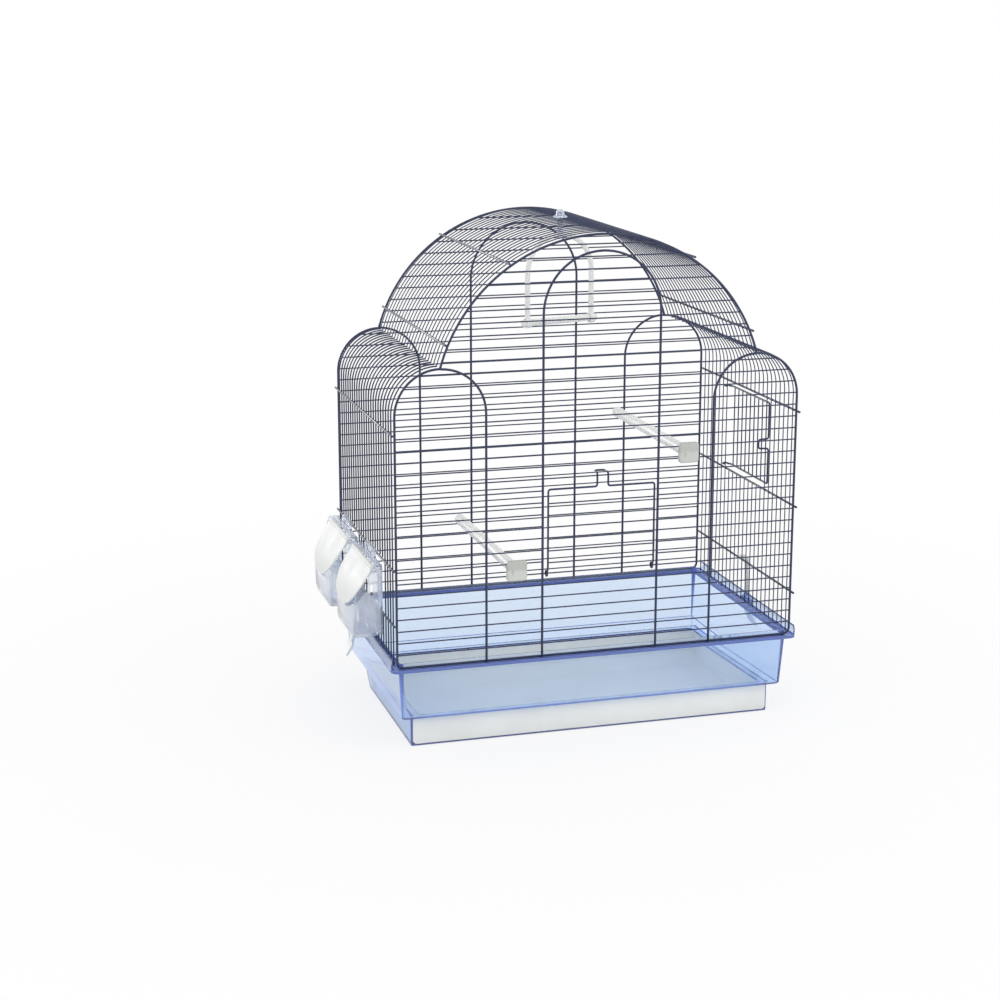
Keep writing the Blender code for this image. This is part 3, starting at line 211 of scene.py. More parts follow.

# Bands of painted shade on the tray's edges, where light bent in the clear walls makes them look
# dark: axis, nearest and furthest from the middle, and soft edge
TRAY_SHADE_BANDS = {
    "rim": ("Z", FOOT - 0.0048, FOOT - 0.0010, 0.0006),
    "wall x": ("X", HALF_WIDTH - TRAY_TAPER - 0.0030, 1.0, 0.0004),
    "wall y": ("Y", BACK - TRAY_TAPER - 0.0030, 1.0, 0.0004),
    "bottom": ("Z", TRAY_BOTTOM - 0.0010, TRAY_BOTTOM + 0.0014, 0.0008),
    "corner x": ("X", HALF_WIDTH - TRAY_TAPER - 0.0016, HALF_WIDTH - 0.0008, 0.0006),
    "corner y": ("Y", BACK - TRAY_TAPER - 0.0016, BACK - 0.0008, 0.0006),
    "housing x": ("X", HOUSING_HALF - 0.0024, HOUSING_HALF + 0.0010, 0.0004),
    "housing y": ("Y", -HOUSING_FRONT - 0.0024, -HOUSING_FRONT + 0.0010, 0.0004),
    "housing floor": ("Z", -0.0010, 0.0020, 0.0006),
}
# How clear the tray is, outside these bands and in them; the lower value is part of the painted edge
# shade
TRAY_CLEAR = (0.96, 0.45)

# Lights: name, place, target, size and power
LIGHTS = (
    ("key", (-1.6, -1.8, 2.6), (0, 0, 0.25), 1.8, 10),
    ("fill", (2.0, -1.2, 1.6), (0, 0, 0.25), 2.0, 10),
    ("back", (-1.5, 2.3, 0.9), (-0.22, 0, 0.3), 0.9, 32),
)
CAMERA_PLACE = (-0.6853, -2.1150, 0.7725)
CAMERA_DOWN = 13.82
CAMERA_LEFT = 16.24
CAMERA_LENS = 74.03


# Outlines

# The largest share of a straight run that a rounded corner takes
CORNER_SHARE = 0.49


def row_height(row):
    return FIRST_ROW + (row - 1) * ROW_PITCH


def side_wire_y(number):
    return FRONT + number * SIDE_PITCH


def arc(centre, radius, start, end, steps):
    angles = [math.radians(start + (end - start) * k / steps) for k in range(steps + 1)]
    return [(centre[0] + radius * math.cos(a), centre[1] + radius * math.sin(a)) for a in angles]


def bend(start, corner, end, steps):
    """Curve from start to end that leaves and arrives in line with corner."""
    points = []
    for k in range(steps + 1):
        t = k / steps
        points.append(start * (1 - t) ** 2 + corner * (2 * t * (1 - t)) + end * t**2)
    return points


def round_loop(corners, steps=4):
    """Closed outline from (u, v, radius) corners, each rounded by its radius."""
    points = []
    for i, (u, v, radius) in enumerate(corners):
        corner = Vector((u, v))
        arms = []
        for near in (corners[i - 1], corners[(i + 1) % len(corners)]):
            arm = Vector(near[:2]) - corner
            arms.append(corner + arm.normalized() * min(radius, arm.length * CORNER_SHARE))
        points += bend(arms[0], corner, arms[1], steps)
    return [tuple(p) for p in points]


def round_path(points, radius):
    """Open path with its inner corners rounded."""
    points = [Vector(p) for p in points]
    result = [points[0]]
    for before, corner, after in zip(points, points[1:], points[2:]):
        one, two = before - corner, after - corner
        reach = min(radius, one.length * CORNER_SHARE, two.length * CORNER_SHARE)
        start, end = corner + one.normalized() * reach, corner + two.normalized() * reach
        result += bend(start, corner, end, 5)
    return result + [points[-1]]


def level_rectangle(half_x, half_y, radius, z, centre=(0.0, 0.0)):
    """Rectangle with round corners in a level plane."""
    points = []
    for sx, sy, start in ((1, 1, 0), (-1, 1, 90), (-1, -1, 180), (1, -1, 270)):
        corner = (centre[0] + sx * (half_x - radius), centre[1] + sy * (half_y - radius))
        points += [(x, y, z) for x, y in arc(corner, radius, start, start + 90, 8)]
    return points


def upright_rectangle(half_x, half_z, radius, y, centre):
    """The same in a plane that faces the front. centre is (x, z)."""
    return [(x, y, z) for x, z, _ in level_rectangle(half_x, half_z, radius, 0, centre)]


def bar_profile(start, end, radius, edge):
    """Profile of a round bar with rounded ends, for Shape.turn."""
    profile = [(start + along, radius - inward) for along, inward in edge]
    return profile + [(end - along, radius - inward) for along, inward in reversed(edge)]


def ring_profile(inner, outer, half):
    """Section of a flat ring with rounded corners, for Shape.turn."""
    r = min(half, (outer - inner) / 2) * 0.6
    return round_loop(((-half, outer, r), (half, outer, r), (half, inner, r), (-half, inner, r)), 3)


# Meshes


def smooth_object(name, verts, faces, material):
    mesh = bpy.data.meshes.new(name)
    mesh.from_pydata([tuple(v) for v in verts], [], faces)
    mesh.update()
    mesh.shade_smooth()
    mesh.materials.append(material)
    obj = bpy.data.objects.new(name, mesh)
    bpy.context.scene.collection.objects.link(obj)
    return obj


def sharpen(obj, angle):
    """Smooth shading that stops at edges sharper than angle."""
    obj.data.shade_smooth()
    obj.data.set_sharp_from_angle(angle=math.radians(angle))


def register(obj, node, body):
    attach(obj, body)
    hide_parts(node)
    return obj


def combine(obj, other, operation):
    """Joins or cuts obj with other, and removes other."""
    modifier = obj.modifiers.new("combine", "BOOLEAN")
    modifier.operation = operation
    modifier.solver = "EXACT"
    modifier.object = other
    graph = bpy.context.evaluated_depsgraph_get()
    result = bpy.data.meshes.new_from_object(obj.evaluated_get(graph))
    obj.modifiers.clear()
    obj.data = result
    bpy.data.objects.remove(other)


class Shape:
    """Collects wires, turned, lofted and extruded bodies into one mesh."""

    def __init__(self):
        self.verts = []
        self.faces = []

    def wire(self, path, side, radius, sides=THIN_SIDES, closed=False):
        """Round wire along a path, with domed ends. side points across its first run."""
        points = [Vector(p) for p in path]
        count = len(points)
        last = count if closed else count - 1
        runs = [(points[(i + 1) % count] - points[i]).normalized() for i in range(last)]
        across = Vector(side)
        rings = []
        for i, point in enumerate(points):
            before = runs[i - 1] if closed or i else runs[0]
            after = runs[i] if i < len(runs) else runs[-1]
            across = (across - across.dot(before) * before).normalized()
            other = before.cross(across)
            middle = (before + after).normalized()
            scales = [(0.0, 1.0)]
            if not closed and i == 0:
                scales = DOME
            if not closed and i == count - 1:
                scales = [(-shift, scale) for shift, scale in reversed(DOME)]
            for shift, scale in scales:
                ring = []
                for k in range(sides):
                    angle = 2 * math.pi * k / sides
                    offset = radius * scale * (math.cos(angle) * across + math.sin(angle) * other)
                    offset -= before * (offset.dot(middle) / before.dot(middle))
                    ring.append(point + before * (radius * shift) + offset)
                rings.append(ring)
            across = before.rotation_difference(after) @ across
        self.loft(rings, closed)

    def loft(self, rings, closed=False):
        """Skin over rings of equally many points, with flat ends unless closed."""
        base, count = len(self.verts), len(rings[0])
        for ring in rings:
            self.verts += [Vector(p) for p in ring]
        last = len(rings) if closed else len(rings) - 1
        for a in range(last):
            first, second = base + a * count, base + (a + 1) % len(rings) * count
            for k in range(count):
                n = (k + 1) % count
                self.faces.append((first + k, first + n, second + n, second + k))
        if not closed:
            self.faces.append(tuple(base + k for k in reversed(range(count))))
            end = base + (len(rings) - 1) * count
            self.faces.append(tuple(end + k for k in range(count)))

    def turn(self, centre, axis, across, profile, sides=32, closed=False):
        """Round body from (distance along the axis, radius) pairs."""
        centre, axis, across = Vector(centre), Vector(axis).normalized(), Vector(across).normalized()
        other = axis.cross(across)
        angles = [2 * math.pi * k / sides for k in range(sides)]
        arms = [math.cos(a) * across + math.sin(a) * other for a in angles]
        self.loft([
            [centre + axis * along + radius * arm for arm in arms] for along, radius in profile
        ], closed)

    def slab(self, outline, low, high, sign=1):
        """Outline in x and z made solid from low to high in y. A sign of -1 mirrors it in x."""
        self.loft([[(sign * x, y, z) for x, z in outline] for y in (low, high)])

    def object(self, name, material, angle=None):
        obj = smooth_object(name, self.verts, self.faces, material)
        bm = bmesh.new()
        bm.from_mesh(obj.data)
        bmesh.ops.recalc_face_normals(bm, faces=bm.faces)
        bm.to_mesh(obj.data)
        bm.free()
        if angle:
            sharpen(obj, angle)
        return obj

    def piece(self, name, node, body, material, angle=None):
        return register(self.object(name, material, angle), node, body)


def softened(frame, node, body, material, width):
    """A copy of a CAD node with its edges rounded."""
    bm = bmesh.new()
    bm.from_mesh(frame["nodes"][node].data)
    bmesh.ops.remove_doubles(bm, verts=bm.verts, dist=1e-6)
    bmesh.ops.dissolve_limit(bm, angle_limit=math.radians(0.3), verts=bm.verts, edges=bm.edges)
    bm.verts.ensure_lookup_table()
    verts = [v.co.copy() for v in bm.verts]
    faces = [[v.index for v in f.verts] for f in bm.faces]
    bm.free()
    obj = smooth_object(node + "_shape", verts, faces, material)
    bevel = obj.modifiers.new("edges", "BEVEL")
    bevel.width = width
    bevel.segments = 3
    bevel.limit_method = "ANGLE"
    bevel.angle_limit = math.radians(30)
    bevel.harden_normals = True
    bevel.use_clamp_overlap = True
    return register(obj, node, body)


# Materials


def new_material(name):
    made = bpy.data.materials.new(name)
    made.use_nodes = True
    return made, made.node_tree, made.node_tree.nodes["Principled BSDF"]


def connect(tree, node, inputs):
    """Fills the inputs of a node with sockets to link and plain values."""
    for name, value in inputs.items():
        if isinstance(value, bpy.types.NodeSocket):
            tree.links.new(value, node.inputs[name])
        else:
            node.inputs[name].default_value = value
    return node


def add_node(tree, kind, inputs):
    return connect(tree, tree.nodes.new("ShaderNode" + kind), inputs)


def output_of(tree):
    return next(n for n in tree.nodes if n.type == "OUTPUT_MATERIAL")


def coordinates(tree, kind="Object"):
    return add_node(tree, "TexCoord", {}).outputs[kind]


def noise(tree, scale, detail=3.0):
    inputs = {"Scale": scale, "Detail": detail, "Vector": coordinates(tree)}
    return add_node(tree, "TexNoise", inputs).outputs["Fac"]


def ramp(tree, source, low, high, colours):
    node = add_node(tree, "ValToRGB", {"Fac": source})
    for element, place, colour in zip(node.color_ramp.elements, (low, high), colours):
        element.position = place
        element.color = (*colour, 1)
    return node.outputs["Color"]


def map_range(tree, source, start, end, low=0.0, high=1.0):
    inputs = {"Value": source, "From Min": start, "From Max": end, "To Min": low, "To Max": high}
    return add_node(tree, "MapRange", inputs)


def calculate(tree, operation, *sources):
    node = add_node(tree, "Math", dict(enumerate(sources)))
    node.operation = operation
    return node.outputs[0]


def mix_colours(tree, blend, one, two, share):
    node = tree.nodes.new("ShaderNodeMix")
    node.data_type = "RGBA"
    node.blend_type = blend
    return connect(tree, node, {"A": one, "B": two, "Factor": share}).outputs["Result"]


def roughen(tree, shader, gloss, roughness, grain, strength, depth=0.0002):
    """Uneven gloss and fine grain. gloss and grain are the scales of their noise."""
    height = {"Height": noise(tree, grain, 2.0), "Strength": strength, "Distance": depth}
    uneven = map_range(tree, noise(tree, gloss), 0.3, 0.7, *roughness)
    connect(tree, shader, {
        "Normal": add_node(tree, "Bump", height).outputs["Normal"],
        "Roughness": uneven.outputs["Result"],
    })


def white_plastic():
    """Moulded plastic: slight mottling, fine grain, and light that enters a little."""
    made, tree, shader = new_material("white_moulding")
    roughen(tree, shader, 60.0, (0.32, 0.45), 900.0, 0.08)
    connect(tree, shader, {
        "Base Color": ramp(tree, noise(tree, 22.0), 0.35, 0.65, WHITE),
        "IOR": 1.49,
        "Subsurface Weight": 0.2,
        "Subsurface Radius": (0.004, 0.004, 0.004),
        "Subsurface Scale": 1.0,
    })
    return made


def coated_wire():
    """Dark blue baked coating on steel wire."""
    made, tree, shader = new_material("navy_coating")
    roughen(tree, shader, 240.0, (0.26, 0.42), 1400.0, 0.15, 0.0001)
    connect(tree, shader, {
        "Base Color": ramp(tree, noise(tree, 180.0, 4.0), 0.3, 0.7, NAVY),
        "Specular IOR Level": 0.4,
        "Coat Weight": 0.15,
        "Coat Roughness": 0.15,
    })
    return made


def clear_plastic(name, colours, roughness, transmission, shade, depth=None, specular=0.5):
    """Tinted clear moulding. Light that makes shadows passes through it, weakened to shade."""
    made, tree, shader = new_material(name)
    roughen(tree, shader, 45.0, roughness, 260.0, 0.05)
    connect(tree, shader, {
        "Base Color": ramp(tree, noise(tree, 14.0), 0.35, 0.65, colours),
        "Transmission Weight": transmission,
        "IOR": 1.49,
        "Specular IOR Level": specular,
    })
    through = add_node(tree, "BsdfTransparent", {"Color": (*shade, 1)})
    shadow = add_node(tree, "LightPath", {}).outputs["Is Shadow Ray"]
    mix = add_node(tree, "MixShader", {0: shadow, 1: shader.outputs[0], 2: through.outputs[0]})
    connect(tree, output_of(tree), {"Surface": mix.outputs[0]})
    if depth:
        inside = {"Color": (*depth[0], 1), "Density": depth[1]}
        volume = add_node(tree, "VolumeAbsorption", inside)
        connect(tree, output_of(tree), {"Volume": volume.outputs["Volume"]})
    return made


def band(tree, place, low, high, fade):
    """1 where the distance from the middle lies between low and high."""
    distance = calculate(tree, "ABSOLUTE", place)
    rise = map_range(tree, distance, low - fade, low).outputs["Result"]
    fall = map_range(tree, distance, high + fade, high).outputs["Result"]
    return calculate(tree, "MULTIPLY", rise, fall)


def paint_edge_shade(material):
    """Paints deep blue shade on the tray's rim, bottom edge, upright corners and housing edges, and
    makes them less clear.
    """
    tree = material.node_tree
    shader = tree.nodes["Principled BSDF"]
    split = add_node(tree, "SeparateXYZ", {0: coordinates(tree)})
    at = {}
    for name, (axis, *limits) in TRAY_SHADE_BANDS.items():
        at[name] = band(tree, split.outputs[axis], *limits)
    wall = calculate(tree, "MAXIMUM", at["wall x"], at["wall y"])
    housing_side = calculate(tree, "MAXIMUM", at["housing x"], at["housing y"])
    total = at["rim"]
    for one, two in (
        (wall, at["bottom"]),
        (at["corner x"], at["corner y"]),
        (housing_side, at["housing floor"]),
        (at["housing x"], at["housing y"]),
    ):
        total = calculate(tree, "MAXIMUM", total, calculate(tree, "MULTIPLY", one, two))
    # Painted shade: deep blue colour and less clearness in the edge bands
    clear = map_range(tree, total, 0.0, 1.0, *TRAY_CLEAR)
    colour = shader.inputs["Base Color"].links[0].from_socket
    connect(tree, shader, {
        "Transmission Weight": clear.outputs["Result"],
        "Base Color": mix_colours(tree, "MIX", colour, (*EDGE_SHADE_BLUE, 1), total),
    })


def two_tone_cap():
    """Soft grey plastic, a shade darker in the upper half."""
    made, tree, shader = new_material("cap_moulding")
    roughen(tree, shader, 80.0, (0.4, 0.55), 900.0, 0.08)
    split = add_node(tree, "SeparateXYZ", {0: coordinates(tree, "Generated")})
    halves = ramp(tree, split.outputs["Z"], 0.46, 0.60, CAP_HALVES)
    grain = ramp(tree, noise(tree, 60.0), 0.35, 0.65, CAP_GRAIN)
    connect(tree, shader, {"Base Color": mix_colours(tree, "MULTIPLY", halves, grain, 1.0)})
    return made


# Wire body


def outline_half_width(z):
    if z <= SHOULDER:
        return HALF_WIDTH
    if z <= SIDE_ARCH_TOP:
        return SIDE_ARCH_X + math.sqrt(SIDE_ARCH_RADIUS**2 - (z - SHOULDER) ** 2)
    return math.sqrt(ROOF_RADIUS**2 - (z - ROOF_CENTRE) ** 2)


def roof_arc(offset, steps):
    reach = math.degrees(math.asin(SIDE_ARCH_X / ROOF_RADIUS))
    return arc((0, ROOF_CENTRE), ROOF_RADIUS + offset, 90 - reach, 90 + reach, steps)


def panel(name, y, opening, material):
    """Front or back grille. opening has the rows below and above the door, if there is one."""
    wires = Shape()
    half = arc((HALF_WIDTH - FOOT_CORNER, FOOT + FOOT_CORNER), FOOT_CORNER, -90, 0, 6)
    half += arc((SIDE_ARCH_X, SHOULDER), SIDE_ARCH_RADIUS, 0, 90, 18)
    mirrored = [(-x, z) for x, z in reversed(half)]
    outline = half + roof_arc(0, 60)[1:-1] + mirrored
    wires.wire([(x, y, z) for x, z in outline], (0, 1, 0), THICK, THICK_SIDES, closed=True)
    for row in range(1, ROWS + 1):
        z = row_height(row)
        reach = outline_half_width(z)
        spans = [(-reach, reach)]
        if opening and opening[0] < row < opening[1]:
            spans = [(-reach, -CENTRE_RADIUS), (CENTRE_RADIUS, reach)]
        for start, end in spans:
            wires.wire([(start, y, z), (end, y, z)], (0, 1, 0), THIN)
    leg_y = y + math.copysign(LEG_OUT, y)
    foot = FOOT - THICK
    side_arch = [(SIDE_ARCH_X - SIDE_ARCH_RADIUS, foot)]
    side_arch += arc((SIDE_ARCH_X, SHOULDER), SIDE_ARCH_RADIUS, 180, 90, 18)
    centre_arch = arc((0, CENTRE_SPRING), CENTRE_RADIUS, 0, 180, 36)
    centre_arch = [(CENTRE_RADIUS, foot)] + centre_arch + [(-CENTRE_RADIUS, foot)]
    for sign, arch in ((-1, side_arch), (1, side_arch), (1, centre_arch)):
        wires.wire([(sign * x, leg_y, z) for x, z in arch], (0, 1, 0), THICK, THICK_SIDES)
    return wires.piece(name + "_wires", name, "cage", material)


def long_wire(wires, point, outward):
    """Wire from front to back that lies outside the side wires at point, given as (x, z)."""
    out = Vector((outward[0], 0, outward[1])).normalized()
    line = Vector((point[0], 0, point[1])) + out * LONG_OUT
    reach = Vector((0, BACK + LONG_END, 0))
    wires.wire([line - reach, line + reach], out, LONG, THICK_SIDES)


def wall(name, sign, heights, radius, openings, material):
    """Side wall. openings gives the (low, high) parts above FOOT that a side wire leaves out."""
    wires = Shape()
    x = HALF_WIDTH + SIDE_OUT
    top = arc((SIDE_ARCH_X, SHOULDER), SIDE_ARCH_RADIUS + SIDE_OUT, 0, 90, 18)
    for number in range(1, SIDE_SPACES):
        y = side_wire_y(number)
        start = FOOT - THIN
        if number in openings:
            low, high = openings[number]
            wires.wire([(sign * x, y, start), (sign * x, y, FOOT + low)], (0, 1, 0), radius)
            start = FOOT + high
        path = [(sign * px, y, pz) for px, pz in [(x, start)] + top]
        wires.wire(path, (0, 1, 0), radius)
    for height in heights:
        long_wire(wires, (sign * HALF_WIDTH, FOOT + height), (sign, 0))
    return wires.piece(name + "_wires", name, "cage", material)


def roof(material):
    wires = Shape()
    path = roof_arc(SIDE_OUT, 72)
    for number in range(1, SIDE_SPACES):
        y = side_wire_y(number)
        wires.wire([(x, y, z) for x, z in path], (0, 1, 0), SIDE_WIRE)
    for angle in ROOF_LONG_WIRES:
        for sign in (-1, 1):
            out = (sign * math.sin(math.radians(angle)), math.cos(math.radians(angle)))
            long_wire(wires, (ROOF_RADIUS * out[0], ROOF_CENTRE + ROOF_RADIUS * out[1]), out)
    return wires.piece("roof_arch_wires", "roof_arch", "cage", material)


# Doors


def eye(centre, away, along):
    """Open loop round a hinge wire, from its free end to the door's bar."""
    away, along = Vector(away), Vector(along)
    points = []
    for k in range(19):
        angle = math.radians(250 - 280 * k / 18)
        arm = math.cos(angle) * away - math.sin(angle) * along
        points.append(Vector(centre) + EYE_RADIUS * arm)
    return points


def front_door(material):
    hinge, upper = (row_height(row) for row in FRONT_DOOR_ROWS)
    y = FRONT - DOOR_OUT
    top, crest = upper + FRONT_DOOR_TOP, upper + FRONT_LATCH_TOP
    side = eye((FRONT_DOOR_HALF, FRONT, hinge), (0, -1, 0), (0, 0, 1))
    side += [Vector((FRONT_DOOR_HALF, y, hinge + EYE_LENGTH)), Vector((FRONT_DOOR_HALF, y, top))]
    hook_y = FRONT + HOOK_REACH
    (left, right), (hook_left, hook_right) = FRONT_LATCH
    latch = [(left, y, top), (left, y, crest), (hook_left, hook_y, crest)]
    latch += [(hook_right, hook_y, crest), (right, y, crest), (right, y, top)]
    mirrored = [Vector((-p.x, p.y, p.z)) for p in side]
    wires = Shape()
    frame = round_path(mirrored + latch + side[::-1], DOOR_CORNER)
    wires.wire(frame, (1, 0, 0), DOOR_WIRE, THICK_SIDES)
    for row in range(FRONT_DOOR_ROWS[0] + 1, FRONT_DOOR_ROWS[1] - 1):
        z = row_height(row)
        wires.wire([(-FRONT_DOOR_HALF, y, z), (FRONT_DOOR_HALF, y, z)], (0, 1, 0), THIN)
    return wires.piece("front_door_wires", "front_door", "front_door", material)


def side_door(material):
    low = FOOT + RIGHT_LONG_WIRES[1] + SIDE_DOOR_GAP
    high = FOOT + RIGHT_LONG_WIRES[2] - SIDE_DOOR_GAP
    middle = (low + high) / 2
    free, hinge = (side_wire_y(number) for number in SIDE_DOOR_WIRES)
    free += SIDE_DOOR_FREE
    inner = HALF_WIDTH + SIDE_OUT
    x, hook_x = inner + DOOR_OUT, inner - HOOK_REACH
    ends = []
    for z in (low, high):
        loop = eye((inner, hinge, z), (1, 0, 0), (0, -1, 0))
        ends.append(loop + [(x, hinge - EYE_LENGTH, z), (x, free, z)])
    half, hook_half = SIDE_LATCH
    latch = [(x, free, middle - half), (hook_x, free, middle - hook_half)]
    latch += [(hook_x, free, middle + hook_half), (x, free, middle + half)]
    wires = Shape()
    frame = round_path(ends[0] + latch + ends[1][::-1], DOOR_CORNER)
    wires.wire(frame, (0, 0, 1), DOOR_WIRE, THICK_SIDES)
    for number in range(SIDE_DOOR_WIRES[0] + 1, SIDE_DOOR_WIRES[1]):
        y = side_wire_y(number)
        wires.wire([(x, y, low), (x, y, high)], (0, 1, 0), THIN)
    return wires.piece("side_door_wires", "side_door", "side_door", material)


# Tray and drawer


def tray(material):
    # Section of the walls and the rim: (distance outside the outline, height above FOOT, radius)
    profile = round_loop((
        (RIM_OVERHANG, -0.0042, 0.0009),
        (RIM_OVERHANG, -0.0008, 0.0009),
        (RIM_OVERHANG - 0.0016, -0.0008, 0.0005),
        (RIM_OVERHANG - 0.0016, -0.0017, 0.0003),
        (-0.0030, -0.0017, 0.0004),
        (-0.0030, 0.0036, 0.0007),
        (-0.0046, 0.0036, 0.0007),
        (-0.0046, -0.0045, 0.0020),
        (-0.0004 - TRAY_TAPER - 0.0022, 0.0010 - TRAY_DEPTH, 0.0020),
        (-0.0004 - TRAY_TAPER, -TRAY_DEPTH, 0.0030),
        (-0.0026, -0.0040, 0.0008),
        (RIM_OVERHANG - 0.0018, -0.0034, 0.0004),
        (RIM_OVERHANG - 0.0018, -0.0042, 0.0004),
    ))
    shape = Shape()
    shape.loft([
        level_rectangle(HALF_WIDTH + out, BACK + out, max(0.001 + out, 0.003), FOOT + z)
        for out, z in profile
    ], closed=True)
    obj = shape.object("base_tray_shape", material)
    for part in (tray_lips(), tray_floor(), housing(material), clip_ears()):
        combine(obj, part.object("part", material), "UNION")
    bores = Shape()
    for sign, y in CLIP_PLACES:
        centre = (sign * (HALF_WIDTH + CLIP_AXIS_OUT), y, CLIP_AXIS_Z)
        profile = [(-0.012, CLIP_BORE), (0.012, CLIP_BORE)]
        bores.turn(centre, (0, 1, 0), (1, 0, 0), profile, 24)
    combine(obj, bores.object("bores", material), "DIFFERENCE")
    sharpen(obj, 32)
    return register(obj, "base_tray", "cage")


def tray_lips():
    """Raised lips along the rim's left and right side."""
    outer = HALF_WIDTH + RIM_OVERHANG
    outline = round_loop((
        (outer - 0.0003, FOOT - 0.0014, 0.0002),
        (outer - 0.0001, FOOT + 0.0040, 0.0030),
        (outer - 0.0012, FOOT + 0.0095, 0.0006),
        (outer - 0.0026, FOOT + 0.0095, 0.0006),
        (outer - 0.0016, FOOT + 0.0036, 0.0030),
        (outer - 0.0020, FOOT - 0.0014, 0.0002),
    ))
    shape = Shape()
    for sign in (-1, 1):
        shape.slab(outline, FRONT - 0.0010, BACK + 0.0010, sign)
    return shape


def tray_floor():
    """Ledge round the drawer opening, deepest at the back."""
    outer_x, outer_y = HALF_WIDTH - TRAY_TAPER - 0.0013, BACK - TRAY_TAPER - 0.0013
    x = HALF_WIDTH - TRAY_TAPER - 0.0210
    front, back = FRONT + TRAY_TAPER + 0.0120, BACK - TRAY_TAPER - 0.0480
    y, centre = (back - front) / 2, (0, (front + back) / 2)
    shape = Shape()
    shape.loft([
        level_rectangle(outer_x, outer_y, 0.005, TRAY_BOTTOM),
        level_rectangle(outer_x, outer_y, 0.005, TRAY_BOTTOM + 0.0018),
        level_rectangle(x + 0.0004, y + 0.0004, 0.0064, TRAY_BOTTOM + 0.0018, centre),
        level_rectangle(x, y, 0.006, TRAY_BOTTOM + 0.0014, centre),
        level_rectangle(x, y, 0.006, TRAY_BOTTOM + 0.0004, centre),
        level_rectangle(x + 0.0004, y + 0.0004, 0.0064, TRAY_BOTTOM, centre),
    ], closed=True)
    return shape


def housing(material):
    """Box under the tray that the drawer slides into, open at the front and the top."""
    parts = []
    for inset, extra in ((0, 0), (HOUSING_WALL, 0.02)):
        front, top = HOUSING_FRONT - extra, TRAY_BOTTOM + 0.001 + extra
        outline = round_loop((
            (front, inset, 0.0012),
            (HOUSING_BACK - HOUSING_SLOPE, inset, 0.004),
            (HOUSING_BACK - inset, HOUSING_SLOPE_RISE, 0.004),
            (HOUSING_BACK - inset, top, 0.0001),
            (front, top, 0.0001),
        ))
        reach = HOUSING_HALF - inset
        places = (-reach, -reach + HOUSING_EDGE, reach - HOUSING_EDGE, reach)
        lifts = (HOUSING_EDGE, 0, 0, HOUSING_EDGE)
        shape = Shape()
        shape.loft([
            [(x, y, max(z, inset + lift)) for y, z in outline] for x, lift in zip(places, lifts)
        ])
        parts.append(shape.object("housing", material))
    combine(parts[0], parts[1], "DIFFERENCE")
    shape = Shape()
    shape.verts = [v.co.copy() for v in parts[0].data.vertices]
    shape.faces = [tuple(p.vertices) for p in parts[0].data.polygons]
    bpy.data.objects.remove(parts[0])
    return shape


def clip_ears():
    """Pairs of ears under the rim that hold the clips' pins."""
    outer = HALF_WIDTH + CLIP_AXIS_OUT + 0.0030
    inner = HALF_WIDTH + RIM_OVERHANG - 0.0012
    outline = round_loop((
        (inner, FOOT - 0.0055, 0.0005),
        (outer - 0.0030, FOOT - 0.0085, 0.0018),
        (outer, FOOT - 0.0055, 0.0018),
        (outer, FOOT - 0.0005, 0.0018),
        (outer - 0.0025, FOOT + 0.0020, 0.0015),
        (inner, FOOT - 0.0012, 0.0002),
    ))
    near, far = CLIP_EARS
    shape = Shape()
    for sign, y in CLIP_PLACES:
        shape.slab(outline, y - far, y - near, sign)
        shape.slab(outline, y + near, y + far, sign)
    return shape


def drawer(material):
    half_x = HOUSING_HALF - HOUSING_WALL - DRAWER_PLAY
    front = HOUSING_FRONT + GAP
    back = HOUSING_BACK - HOUSING_WALL - DRAWER_PLAY
    slope = HOUSING_BACK - HOUSING_SLOPE - DRAWER_PLAY
    bottom, rise = HOUSING_WALL + GAP, HOUSING_SLOPE_RISE + DRAWER_PLAY
    top = TRAY_BOTTOM - 0.0030

    def ring(inset, end, z, radius=0.005):
        half_y = (end - front) / 2 - inset
        return level_rectangle(half_x - inset, half_y, radius, z, (0, (front + end) / 2))

    shape = Shape()
    shape.loft([
        ring(0.0010, slope, bottom, 0.004),
        ring(0.0002, slope + 0.0008, bottom + 0.0006),
        ring(0, slope + 0.0015, bottom + 0.0015),
        ring(0, back, rise),
        ring(0, back, top - 0.0004),
        ring(0.0004, back, top),
        ring(DRAWER_WALL - 0.0004, back, top),
        ring(DRAWER_WALL, back, top - 0.0004, 0.004),
        ring(DRAWER_WALL, back, rise, 0.004),
        ring(DRAWER_WALL, slope + 0.001, bottom + DRAWER_WALL + 0.001, 0.004),
        ring(DRAWER_WALL + 0.001, slope, bottom + DRAWER_WALL, 0.004),
    ])
    obj = shape.object("drawer_shape", material)
    plate_back = HOUSING_FRONT - GAP
    low, high = 0.0030, TRAY_BOTTOM - 0.0010
    half_plate, half_height = HOUSING_HALF - 0.0020, (high - low) / 2
    plate = Shape()
    plate.loft([
        upright_rectangle(
            half_plate - inset, half_height - inset, PLATE_CORNER - inset,
            plate_back - depth, (0, (low + high) / 2),
        )
        for depth, inset in PLATE_EDGE
    ])
    combine(obj, plate.object("plate", material), "UNION")
    # A strip that joins the plate to the drawer
    x, z = half_x * 0.9, top - 0.003
    link = Shape()
    link.slab(((-x, 0.008), (x, 0.008), (x, z), (-x, z)), plate_back - 0.001, front + 0.001)
    combine(obj, link.object("link", material), "UNION")
    sharpen(obj, 32)
    return register(obj, "drawer", "drawer")


# Perches and swing


